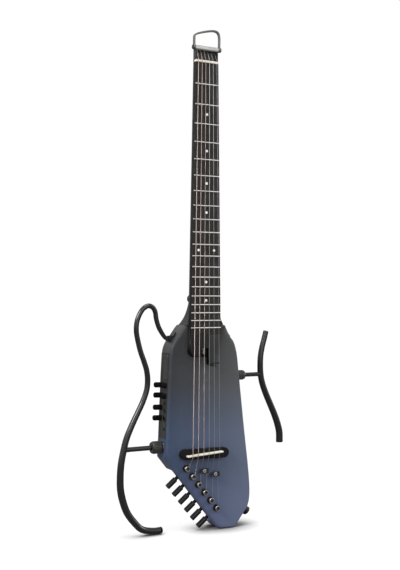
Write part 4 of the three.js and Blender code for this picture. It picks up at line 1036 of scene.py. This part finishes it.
def strip_outline(line, width):
    """Outline of a flat strip with a run of points along its middle."""
    near = []
    far = []
    for i, (x, z) in enumerate(line):
        before, after = neighbours(line, i)
        along = Vector((after[0] - before[0], after[1] - before[1])).normalized()
        step = Vector((-along.y, along.x)) * width / 2
        near.append((x + step.x, z + step.y))
        far.append((x - step.x, z - step.y))
    return near + far[::-1]


tongue_line = []
for angle in range(190, 271, 10):
    reach_x = (TONGUE_CORNER + 1) * math.cos(math.radians(angle))
    reach_z = (TONGUE_CORNER + 1) * math.sin(math.radians(angle))
    tongue_line.append((TONGUE_LEFT + TONGUE_CORNER + reach_x, TONGUE_STEP + TONGUE_CORNER + reach_z))
tongue_line.append((7.0, TONGUE_STEP - 1))
# Black sheets that stand for shade: the pocket's floor and the shadow lines below the tongue and the ramp.
for name, outline, rear in (
    ("pocket_floor", POCKET, POCKET_SHEET_REAR),
    ("tongue_edging", strip_outline(tongue_line, width=1.7), SHADOW_STRIP_REAR),
    ("ramp_edging", strip_outline(RAMP_LINE, width=1.3), SHADOW_STRIP_REAR),
):
    slab(name, outline, SHADE_SHEET_FRONT, rear, 0.06, "black_rubber", "body", steps=1)
print("pocket and edging done")

# %% [markdown]
# There is no headstock: a bar of light alloy clamps the strings' ends against a block. The hanger loop
# is a flat strip bent round the head on two pivot screws.

# %% Nut, clamp bar and hanger loop
HEAD_TOP = NUT_HEIGHT + NUT_THICKNESS + 24.5
BAR_HEIGHT = 7.5
BAR_WIDTH = 43.5
BAR_THICKNESS = 5.0
NUT_STRING_Y = BOARD_TOP - 0.9 - GAP
CLAMP_STRING_Y = NUT_STRING_Y + 7.1
PIVOT_Y = CLAMP_STRING_Y - 0.65 - GAP - BAR_THICKNESS / 2
PIVOT_Z = HEAD_TOP - BAR_HEIGHT / 2
LOOP_THICKNESS = 3.0
LOOP_DEPTH = 5.0
LOOP_X = BAR_WIDTH / 2 + GAP + LOOP_THICKNESS / 2
LOOP_RISE = 31.0
LOOP_SHARES = [(-1, 0), (-1, 0.45), (-0.97, 0.62), (-0.78, 0.73), (0.6, 1), (0.9, 0.92), (1, 0.7), (1, 0)]
EYE = [(0, 0), (4.2, 0), (4.2, LOOP_THICKNESS), (0, LOOP_THICKNESS)]
SCREW_RADIUS = 1.5
SCREW_DEPTH = 8.0

softened("nut", "bone_white", bevel=0.45, steps=3)
softened("clamp_bar", "light_alloy", bevel=0.3)

loop_path = centripetal_path([(x * LOOP_X, 0, z * LOOP_RISE) for x, z in LOOP_SHARES])
loop_line = even_path(loop_path, 150)
shell = bmesh.new()
strip_rings = []
for i, centre in enumerate(loop_line):
    before, after = neighbours(loop_line, i)
    across = (after - before).normalized().cross(Vector((0, 1, 0))).normalized()
    ring = []
    for a, b in ((-1, -1), (1, -1), (1, 1), (-1, 1)):
        corner = centre + across * (a * LOOP_THICKNESS / 2) + Vector((0, b * LOOP_DEPTH / 2, 0))
        ring.append(shell.verts.new(corner))
    strip_rings.append(ring)
close_rings(shell, strip_rings)
loop = object_from(mesh_from(shell, "hanger_loop_strip"), "hanger_loop_strip")
bevel_edges(loop, width=0.6, steps=2, angle=60)
for sign in (-1, 1):
    eye = turned_mesh("eye", rounded_line(EYE, 0.5))
    eye_place = aimed((sign * (LOOP_X - LOOP_THICKNESS / 2), 0, 0), (sign, 0, 0))
    combined(loop, placed(eye, eye_place), "UNION")
loop.data.transform(GUITAR @ Matrix.Translation((0, PIVOT_Y, PIVOT_Z)))
dressed(loop, "loop_metal", "hanger_loop")

start = BAR_WIDTH / 2 - SCREW_DEPTH
seat = LOOP_X + LOOP_THICKNESS / 2 + GAP - start
screw_profile = [(0, 0), (SCREW_RADIUS, 0), (SCREW_RADIUS, seat), (4, seat), (4, seat + 1), (1.6, seat + 1),
                 (1.6, seat + 0.5), (0, seat + 0.5)]
for side, sign in (("left", -1), ("right", 1)):
    place = GUITAR @ aimed((sign * start, PIVOT_Y, PIVOT_Z), (sign, 0, 0))
    turned(f"hanger_screw_{side}_head", screw_profile, place, "dark_bronze", f"hanger_screw_{side}", 0.5)
print("head pieces done")

# %% [markdown]
# Six strings run from the clamp over the nut and the saddle to the tuners on the tail. Each bends over
# its bearing edges with a small radius and goes nearly once round its post.

# %% Strings
STRING_NUMBERS = [6, 5, 4, 3, 2, 1]
STRING_RADII = [0.65, 0.525, 0.4, 0.3, 0.225, 0.175]
WOUND_COUNT = 3
CLAMP_SPREAD = 33.0
NUT_SPREAD = 35.0
SADDLE_STRING_Y = NUT_STRING_Y - 3.3 + 0.9
SADDLE_THICKNESS = 2.5
FACE = -19.0
TREE_STRING_Y = FACE - 5.2
TREE_HEIGHT = 8.0
TREE_FALLS = [0, 0, 29.0, 29.0, 36.0, 36.0]
FIRST_POST = 36.6
POST_PITCH = 18.33
POST_INSET = 18.25
POST_TOP = FACE - 7.5
POST_CAP = 2.0
GROOVE_RADIUS = 2.7
GROOVE_LOW = FACE - GAP - 1.5 - GAP
BEND = 1.1
WRAP_TURNS = 0.85
WRAP_STEPS = 40


def spread(span, k):
    return span * (k / 5 - 0.5)


def post_along(k):
    return FIRST_POST + k * POST_PITCH


def post_middle(k):
    """A post's place on the tail, in the guitar's own millimetres."""
    turn = Matrix.Rotation(TAIL_ANGLE, 4, "Y")
    return Vector((-BASS_REACH, 0, SLANT_RISE)) + turn @ Vector((post_along(k), 0, POST_INSET))


def saddle_point(k):
    x = spread(SADDLE_SPREAD, k)
    low = BRIDGE_HEIGHT - SADDLE_THICKNESS / 2 - GAP
    return Vector((x, SADDLE_STRING_Y - GAP - STRING_RADII[k], low - x * math.tan(BRIDGE_TILT)))


def wrap_radius(k):
    return GROOVE_RADIUS + GAP + STRING_RADII[k]


def tree_point(k):
    saddle = saddle_point(k)
    post = post_middle(k)
    height = BRIDGE_HEIGHT - TREE_FALLS[k] + TREE_HEIGHT / 2 + GAP
    share = (saddle.z - height) / (saddle.z - post.z)
    return Vector((saddle.x + (post.x + wrap_radius(k) - saddle.x) * share, TREE_STRING_Y, height))


def string_line(k):
    radius = STRING_RADII[k]
    clamp_x = spread(CLAMP_SPREAD, k)
    corners = [
        (clamp_x, CLAMP_STRING_Y, HEAD_TOP - 1.6),
        (clamp_x, CLAMP_STRING_Y, HEAD_TOP - BAR_HEIGHT),
        (spread(NUT_SPREAD, k), NUT_STRING_Y - radius, NUT_HEIGHT + NUT_THICKNESS + GAP),
        saddle_point(k),
    ]
    if TREE_FALLS[k]:
        corners.append(tree_point(k))
    post = post_middle(k)
    first_y = GROOVE_LOW - GAP - radius
    last_y = max(POST_TOP + POST_CAP + GAP + radius, first_y - 2 * radius - GAP)
    wrap = []
    for step in range(WRAP_STEPS + 1):
        angle = -2 * math.pi * WRAP_TURNS * step / WRAP_STEPS
        x = post.x + wrap_radius(k) * math.cos(angle)
        z = post.z + wrap_radius(k) * math.sin(angle)
        wrap.append(Vector((x, first_y + (last_y - first_y) * step / WRAP_STEPS, z)))
    return rounded_line([*corners, wrap[0]], BEND, steps=4)[:-1] + wrap


string_length = 0.0
for k, number in enumerate(STRING_NUMBERS):
    line = string_line(k)
    string_length += sum((end - start).length for start, end in zip(line, line[1:]))
    mesh = swept_mesh(f"string_{number}_wire", line, [STRING_RADII[k]] * len(line), sides=14)
    wire = placed(mesh, GUITAR)
    shaded(wire.data)
    settle(wire, "string_wound" if k < WOUND_COUNT else "string_plain", f"string_{number}")
print("six strings, in all", round(string_length * MM, 2), "m")

# %% [markdown]
# The saddle leans, because thicker strings need a little more length. Below it two small bars, the
# string trees, hold four strings down to the face, each with one screw.

# %% Bridge, saddle and string trees
TREES = {"string_tree_middle": 2, "string_tree_treble": 4}
TREE_RISE = 2.6
TREE_SCREW = [(1.25, -0.2), (1.3, 0.65), (2.3, 0.75), (2.9, 0.3), (3.0, -0.2)]

softened("bridge_base", "bridge_black", bevel=0.7, steps=3)
softened("saddle", "bone_white", bevel=0.7, steps=4)
for name, k in TREES.items():
    softened(name, "black_plastic", bevel=0.5, steps=3)
    middle = (tree_point(k) + tree_point(k + 1)) / 2
    front = TREE_STRING_Y - STRING_RADII[k] - GAP - TREE_RISE
    place = GUITAR @ aimed((middle.x, front, BRIDGE_HEIGHT - TREE_FALLS[k]), (0, -1, 0))
    turned(f"{name}_screw", TREE_SCREW, place, "string_plain", name, 0.15, slot="bright_steel")
print("bridge and trees done")

# %% [markdown]
# Along the slanted tail a bronze rail carries six bushings. A post comes through each one, and a
# fluted knob sticks out of the tail beside it.

# %% Tuner rail, posts and knobs
POST_RADIUS = 3.0
POST_LENGTH = 26.0
POST_SLOT = (1.2, 14, 3.4, 1)
CAP = 4.4
POST_RIM = [(CAP - 0.9, 0.3), (CAP - 0.9, -0.15), (CAP - 0.45, -0.15), (CAP + 0.05, 0.5), (CAP + 0.05, 1.1),
            (CAP - 0.3, 1.1)]
WORM_OFFSET = 8.0
KNOB_AXIS_Y = -3.5
KNOB_OUTER = -3.4
KNOB_TIP = KNOB_OUTER - 19.4
KNOB = 4.75
KNOB_SHAFT = 3.0
KNOB_INNER = 24.7

softened("tuner_rail", "dark_bronze", bevel=0.25, steps=1, sharp=math.radians(30))
groove_end = GROOVE_LOW - POST_TOP
post_profile = [
    (0, 1.7), (GROOVE_RADIUS * 0.62, 1.7), (GROOVE_RADIUS * 0.70, 0), (CAP - 0.6, 0), (CAP, 0.6),
    (CAP, POST_CAP), (GROOVE_RADIUS, POST_CAP + 0.15), (GROOVE_RADIUS, groove_end),
    (POST_RADIUS, groove_end + GAP), (POST_RADIUS, POST_LENGTH), (0, POST_LENGTH),
]
knob_profile = [
    (0, KNOB_TIP), (KNOB - 0.6, KNOB_TIP), (KNOB, KNOB_TIP + 0.6), (KNOB, KNOB_TIP + 1.4),
    (KNOB, KNOB_OUTER - 1.4), (KNOB, KNOB_OUTER - 0.6), (KNOB - 0.6, KNOB_OUTER), (KNOB_SHAFT, KNOB_OUTER),
    (KNOB_SHAFT, KNOB_INNER), (0, KNOB_INNER),
]
knob_flutes = {"sides": 96, "flutes": 12, "depth": 0.25, "span": (KNOB_TIP + 1.1, KNOB_OUTER - 1.1)}
for k, number in enumerate(STRING_NUMBERS):
    post_name = f"tuner_post_{number}"
    post_mesh = turned_mesh(f"{post_name}_turned", rounded_line(post_profile, 0.25, steps=2))
    post = object_from(post_mesh, post_mesh.name)
    shell = bmesh.new()
    bmesh.ops.create_cube(shell, size=1.0)
    combined(post, placed(mesh_from(shell, "slot"), Matrix.Diagonal(POST_SLOT)), "DIFFERENCE")
    place = TAIL @ aimed((post_along(k), POST_TOP, POST_INSET), (0, 1, 0))
    post.data.transform(place)
    dressed(post, "post_metal", post_name)
    turned(f"{post_name}_rim", POST_RIM, place, "light_alloy", post_name, 0.1, slot="bright_steel")
    knob_name = f"tuner_knob_{number}"
    place = TAIL @ Matrix.Translation((post_along(k) + WORM_OFFSET, KNOB_AXIS_Y, 0))
    turned(f"{knob_name}_fluted", knob_profile, place, "knob_gloss", knob_name, 0.5, **knob_flutes)
print("tuners:", len(STRING_NUMBERS))

# %% [markdown]
# Two frames of bent tube hold the guitar on a lap or on the floor. The long one is thinnest at the peg
# that plugs into the shoulder. A strut is welded to each: its end flares, and the shells are made one.

# %% Bent tube frames
LEFT_REACH = 140.5
LEFT_HEIGHT = 379.5
LEFT_SHARES = [
    (0.402, 0.8545), (0.43, 0.8585), (0.463, 0.8725), (0.518, 0.9057), (0.551, 0.942), (0.567, 0.9744),
    (0.595, 0.9913), (0.648, 1), (0.712, 0.9897), (0.764, 0.9647), (0.801, 0.9288), (0.8065, 0.8888),
    (0.789, 0.853), (0.752, 0.802), (0.708, 0.7589), (0.675, 0.7223), (0.659, 0.6785), (0.669, 0.6356),
    (0.716, 0.586), (0.778, 0.5399), (0.859, 0.4817), (0.927, 0.4237), (0.962, 0.3731), (0.99, 0.3181),
    (1, 0.2593), (0.994, 0.2071), (0.964, 0.1586), (0.911, 0.1088), (0.816, 0.0614), (0.722, 0.0292),
]
LEFT_END = 69.4
LEFT_END_RADIUS = 5.4
LEFT_RADII = [(0, 3.3), (0.04, 4.0), (0.5, 4.8), (0.8, 6.1), (1.0, LEFT_END_RADIUS)]
END_RISE = 6.0
SOCKET = Vector((-50.5, 0, 0.8545 * LEFT_HEIGHT))
PEG_END = Vector((-0.402 * LEFT_REACH - 3.3, 0, SOCKET.z))
RIGHT_REACH = 165.7
RIGHT_HEIGHT = 334.6
RIGHT_SHARES = [
    (0.824, 1), (0.803, 0.961), (0.777, 0.917), (0.758, 0.869), (0.754, 0.821), (0.759, 0.773),
    (0.78, 0.725), (0.823, 0.671), (0.875, 0.617), (0.927, 0.563), (0.971, 0.509), (0.997, 0.459),
    (1, 0.406),
]
LEFT_STRUT_Z = 144.2
LEFT_WALL = wall_x(LEFT_STRUT_Z)
LEFT_STRUT = (LEFT_WALL + 36, -0.957 * LEFT_REACH)
LEFT_STRUT_RADIUS = 4.0
RIGHT_STRUT_Z = 258.5
RIGHT_WALL = 72.6
RIGHT_STRUT = (RIGHT_WALL - 28, 0.757 * RIGHT_REACH)
RIGHT_STRUT_RADIUS = 3.75
WELD = 1.1


def left_radius(share):
    """Radius from the table, straight between its rows."""
    for (low, first), (high, second) in zip(LEFT_RADII, LEFT_RADII[1:]):
        if share <= high:
            return first + (second - first) * (share - low) / (high - low)


def right_radius(share):
    """Straight taper, with the rim of each flat end broken."""
    return 4.8 + 1.4 * share - (0.7 if share in (0, 1) else 0)


def tube_object(name, points, radius_at, count):
    path = even_path(centripetal_path(points), count)
    return swept(name, path, [radius_at(i / count) for i in range(count + 1)])


def strut_object(height, ends, radius):
    """Straight strut along X whose last few millimetres widen into a weld."""
    start, end = [Vector((x, 0, height)) for x in ends]
    path = [start.lerp(end, share) for share in (0, 0.02, 0.5, 0.86, 0.9, 0.94, 0.97, 1.0)]
    wider = [-0.5, 0, 0, 0, 0, WELD * 0.15, WELD * 0.45, WELD]
    return swept("strut", path, [radius + more for more in wider])


left_points = [(-x * LEFT_REACH, 0, z * LEFT_HEIGHT) for x, z in LEFT_SHARES]
left_points += [(-LEFT_END - 2 * LEFT_END_RADIUS, 0, END_RISE), (-LEFT_END, 0, END_RISE)]
left_tube = tube_object("left_frame_tube", left_points, left_radius, 300)
combined(left_tube, swept("peg", [SOCKET, SOCKET.lerp(PEG_END, 0.1), PEG_END], [2.9, 3.3, 3.3]), "UNION")
combined(left_tube, strut_object(LEFT_STRUT_Z, LEFT_STRUT, LEFT_STRUT_RADIUS), "UNION")

right_points = [(x * RIGHT_REACH, 0, z * RIGHT_HEIGHT) for x, z in RIGHT_SHARES]
right_tube = tube_object("right_frame_tube", right_points, right_radius, 220)
combined(right_tube, strut_object(RIGHT_STRUT_Z, RIGHT_STRUT, RIGHT_STRUT_RADIUS), "UNION")

for tube, node_name in ((left_tube, "left_frame"), (right_tube, "right_frame")):
    tube.data.transform(GUITAR)
    dressed(tube, "frame_tube", node_name)

cap_profile = [(0, 0), (LEFT_END_RADIUS, 0), (LEFT_END_RADIUS, 3), (LEFT_END_RADIUS - 0.9, 4), (0, 4)]
cap_place = GUITAR @ aimed((-LEFT_END + GAP, 0, END_RISE), (1, 0, 0))
turned("left_frame_foot_cap", cap_profile, cap_place, "black_rubber", "left_frame_cap", 0.5)
print("frames done")

# %% [markdown]
# Where a strut enters the body a ferrule lines the hole, and a ribbed collar turns on it to clamp the
# strut.

# %% Ferrules and collars
STRUTS = {
    "left": (LEFT_WALL, LEFT_STRUT_Z, -1, LEFT_STRUT_RADIUS, 10.5, 26),
    "right": (RIGHT_WALL, RIGHT_STRUT_Z, 1, RIGHT_STRUT_RADIUS, 8.5, 22),
}
FERRULE_DEPTH = -8.7
FERRULE_RISE = 0.7
COLLAR_LENGTH = 17.5


def ring_of_ribs(name, place, middle, finish_name, node_name, **shape):
    place = place @ Matrix.Translation((0, 0, middle))
    grown(point_mesh(name, [(0, 0, 0)]), RIBS, place, finish_name, node_name, **shape)


for side, (wall, height, sign, strut_radius, wide, rib_count) in STRUTS.items():
    bore = strut_radius + GAP
    rim = wide - 0.5
    ferrule_profile = [(bore, FERRULE_DEPTH), (rim, FERRULE_DEPTH), (rim, FERRULE_RISE - 0.5),
                       (rim - 0.5, FERRULE_RISE), (bore, FERRULE_RISE)]
    place = GUITAR @ aimed((wall, 0, height), (sign, 0, 0))
    turned(f"{side}_ferrule_ring", ferrule_profile, place, "post_metal", f"{side}_ferrule", 0.3)
    collar_profile = [
        (bore, 0), (wide * 0.86, 0), (wide * 0.945, COLLAR_LENGTH * 0.10),
        (wide * 0.945, COLLAR_LENGTH * 0.86), (wide * 0.88, COLLAR_LENGTH), (bore, COLLAR_LENGTH),
    ]
    seat = wall + sign * (FERRULE_RISE + GAP)
    place = GUITAR @ aimed((seat, 0, height), (sign, 0, 0))
    turned(f"{side}_collar_core", collar_profile, place, "collar_grey", f"{side}_collar", 0.6)
    ring_of_ribs(f"{side}_collar_ribs", place, COLLAR_LENGTH * 0.48, "collar_grey", f"{side}_collar",
                 Count=rib_count, Ring=wide * 0.94, Rib=wide * 0.06, Length=COLLAR_LENGTH * 0.74)
softened("shoulder_socket", "black_plastic", bevel=0.5)
print("collars done")

# %% [markdown]
# Strap buttons are turned mushrooms, one behind the heel and one low on the treble side.

# %% Strap buttons
LOWER_CORNER = Vector((89.681, 0, 30.537))
LOWER_EDGE = (Vector((65, 0, 0)) - LOWER_CORNER).normalized()
BUTTONS = {
    "strap_button_upper": [(-10, -24.2 + 17.0 + GAP, 391), (0, 1, 0)],
    "strap_button_lower": [LOWER_CORNER + LOWER_EDGE * 2.5, (-LOWER_EDGE.z, 0, LOWER_EDGE.x)],
}
BUTTON_TOP = 13.5
BUTTON_NECK = BUTTON_TOP - 3.2
BUTTON_PROFILE = [
    (0, -9), (1.8, -7.2), (1.8, GAP), (5, GAP), (5, 1.2), (3.6, BUTTON_NECK / 2), (7.6, BUTTON_NECK),
    (7.6, BUTTON_TOP - 0.6), (6.6, BUTTON_TOP), (2.6, BUTTON_TOP), (2.2, BUTTON_TOP - 1.0),
    (0, BUTTON_TOP - 1.0),
]
for name, (origin, direction) in BUTTONS.items():
    place = GUITAR @ aimed(origin, direction)
    turned(f"{name}_turned", BUTTON_PROFILE, place, "black_plastic", name, 0.5)
print("strap buttons:", len(BUTTONS))

# %% [markdown]
# The control panel in the bass side wall carries four long and two short knobs, a battery tray with
# grip ridges, and a column of sockets. No lettering is put on it.

# %% Control panel, knobs, tray and sockets
LONG_KNOBS = [247, 230, 209.6, 192]
SHORT_KNOBS = [247.4, 229.6]
DIAL = 4.7
DIAL_LIFT = 0.6
SOCKET_DEPTH = 19.7
SOCKETS = {
    "aux_socket": (218, 3.4, 1.8),
    "headphone_jack": (204.6, 3.4, 1.8),
    "output_jack": (192, 4.6, 3.2),
    "charging_socket": (174.7, 2.6, 1.1),
}
TRAY_MIDDLE = 273.5


def on_panel(y, z):
    return SIDE @ aimed((0, y, z - PANEL_MIDDLE), (1, 0, 0))


softened("control_panel", "panel_grey", bevel=0.35)
softened("battery_tray", "panel_grey", bevel=0.4)

dials = [(f"long_knob_{n + 1}", 6.8, z, 13.3) for n, z in enumerate(LONG_KNOBS)]
dials += [(f"short_knob_{n + 1}", -7.1, z, 6.5) for n, z in enumerate(SHORT_KNOBS)]
for name, y, z, rise in dials:
    place = on_panel(y, z)
    top = -rise - DIAL_LIFT
    profile = [
        (0, top + 0.3), (DIAL - 1.9, top + 0.25), (DIAL - 1.5, top), (DIAL - 1.0, top),
        (DIAL - 0.65, top + 0.5), (DIAL - 0.3, -DIAL_LIFT - 1.2), (DIAL, -DIAL_LIFT - 1.0),
        (DIAL, -DIAL_LIFT), (2.5, -DIAL_LIFT), (2.5, 8), (0, 8),
    ]
    turned(f"{name}_cap", profile, place, "black_rubber", name, 0.25)
    rib_length = rise - 2.4
    ring_of_ribs(f"{name}_ribs", place, -DIAL_LIFT - 1.2 - rib_length / 2, "black_rubber", name, Count=24,
                 Ring=DIAL - 0.42, Rib=0.26, Length=rib_length)

for name, (z, radius, bore) in SOCKETS.items():
    profile = [
        (0, SOCKET_DEPTH - 3), (bore, SOCKET_DEPTH - 3), (bore, -0.7), (bore + 0.3, -1), (radius - 0.4, -1),
        (radius, -0.6), (radius, SOCKET_DEPTH), (0, SOCKET_DEPTH),
    ]
    turned(f"{name}_turned", profile, on_panel(-7, z), "black_plastic", name, 0.2)

ridge_points = [(-4.1, 0, TRAY_MIDDLE - PANEL_MIDDLE + 9 + 2.4 * n) for n in range(3)]
ridges = point_mesh("tray_ridges", ridge_points, half_length=[5.5] * 3)
ridge_place = SIDE @ Matrix.Rotation(math.radians(90), 4, "Z")
grown(ridges, BARS, ridge_place, "black_plastic", "battery_tray", Width=1.2, Rise=0.45)
print("panel done")

# %% [markdown]
# Small screws hold the back cover, the panel and the end of the tuner rail.

# %% Cover, panel and rail screws
COVER_X = (6.0, 52.3)
COVER_Z = (-64.8, 0.0, 66.8)


def screw_heads(name, points, axis, size, place, finish_name, node_name, **shape):
    heads = point_mesh(name, points, axis=[axis] * len(points), size=[size] * len(points))
    grown(heads, SCREWS, place, finish_name, node_name, **shape)


cover_points = [(x, 19.0, z) for x in COVER_X for z in COVER_Z]
panel_points = [(0, -10, 295 - PANEL_MIDDLE), (0, 9, 164 - PANEL_MIDDLE)]
rail_points = [(142.6, -3.0, 2.4)]
screw_heads("cover_screws", cover_points, (0, 1, 0), 2.4, SIDE, "dark_bronze", "back_cover", Rise=0.2,
            Slot=0.24)
screw_heads("panel_screws", panel_points, (-1, 0, 0), 1.9, SIDE, "dark_bronze", "control_panel", Rise=0.3,
            Slot=0.26)
screw_heads("rail_screw", rail_points, (0, 0, -1), 1.7, TAIL, "bright_steel", "tuner_rail", Rise=0.5,
            Slot=0.24)

# %% [markdown]
# What is inside the body keeps its CAD shape and only gets its finish.

# %% Pieces that keep their CAD shape
INSIDE = {
    "piezo_strip": "bright_steel",
    "truss_rod": "bright_steel",
    "truss_nut": "post_metal",
    "preamp_board": "circuit_board",
    "battery": "battery_case",
}
for name, finish_name in INSIDE.items():
    piece = frame["nodes"][name]
    if not piece.data.materials:
        piece.data.materials.append(None)
    for material_slot in piece.material_slots:
        material_slot.material = FINISHES[finish_name]

# %% [markdown]
# Last, the number of dressed pieces is printed.

# %% Count the pieces
print("pieces:", len(made_pieces))
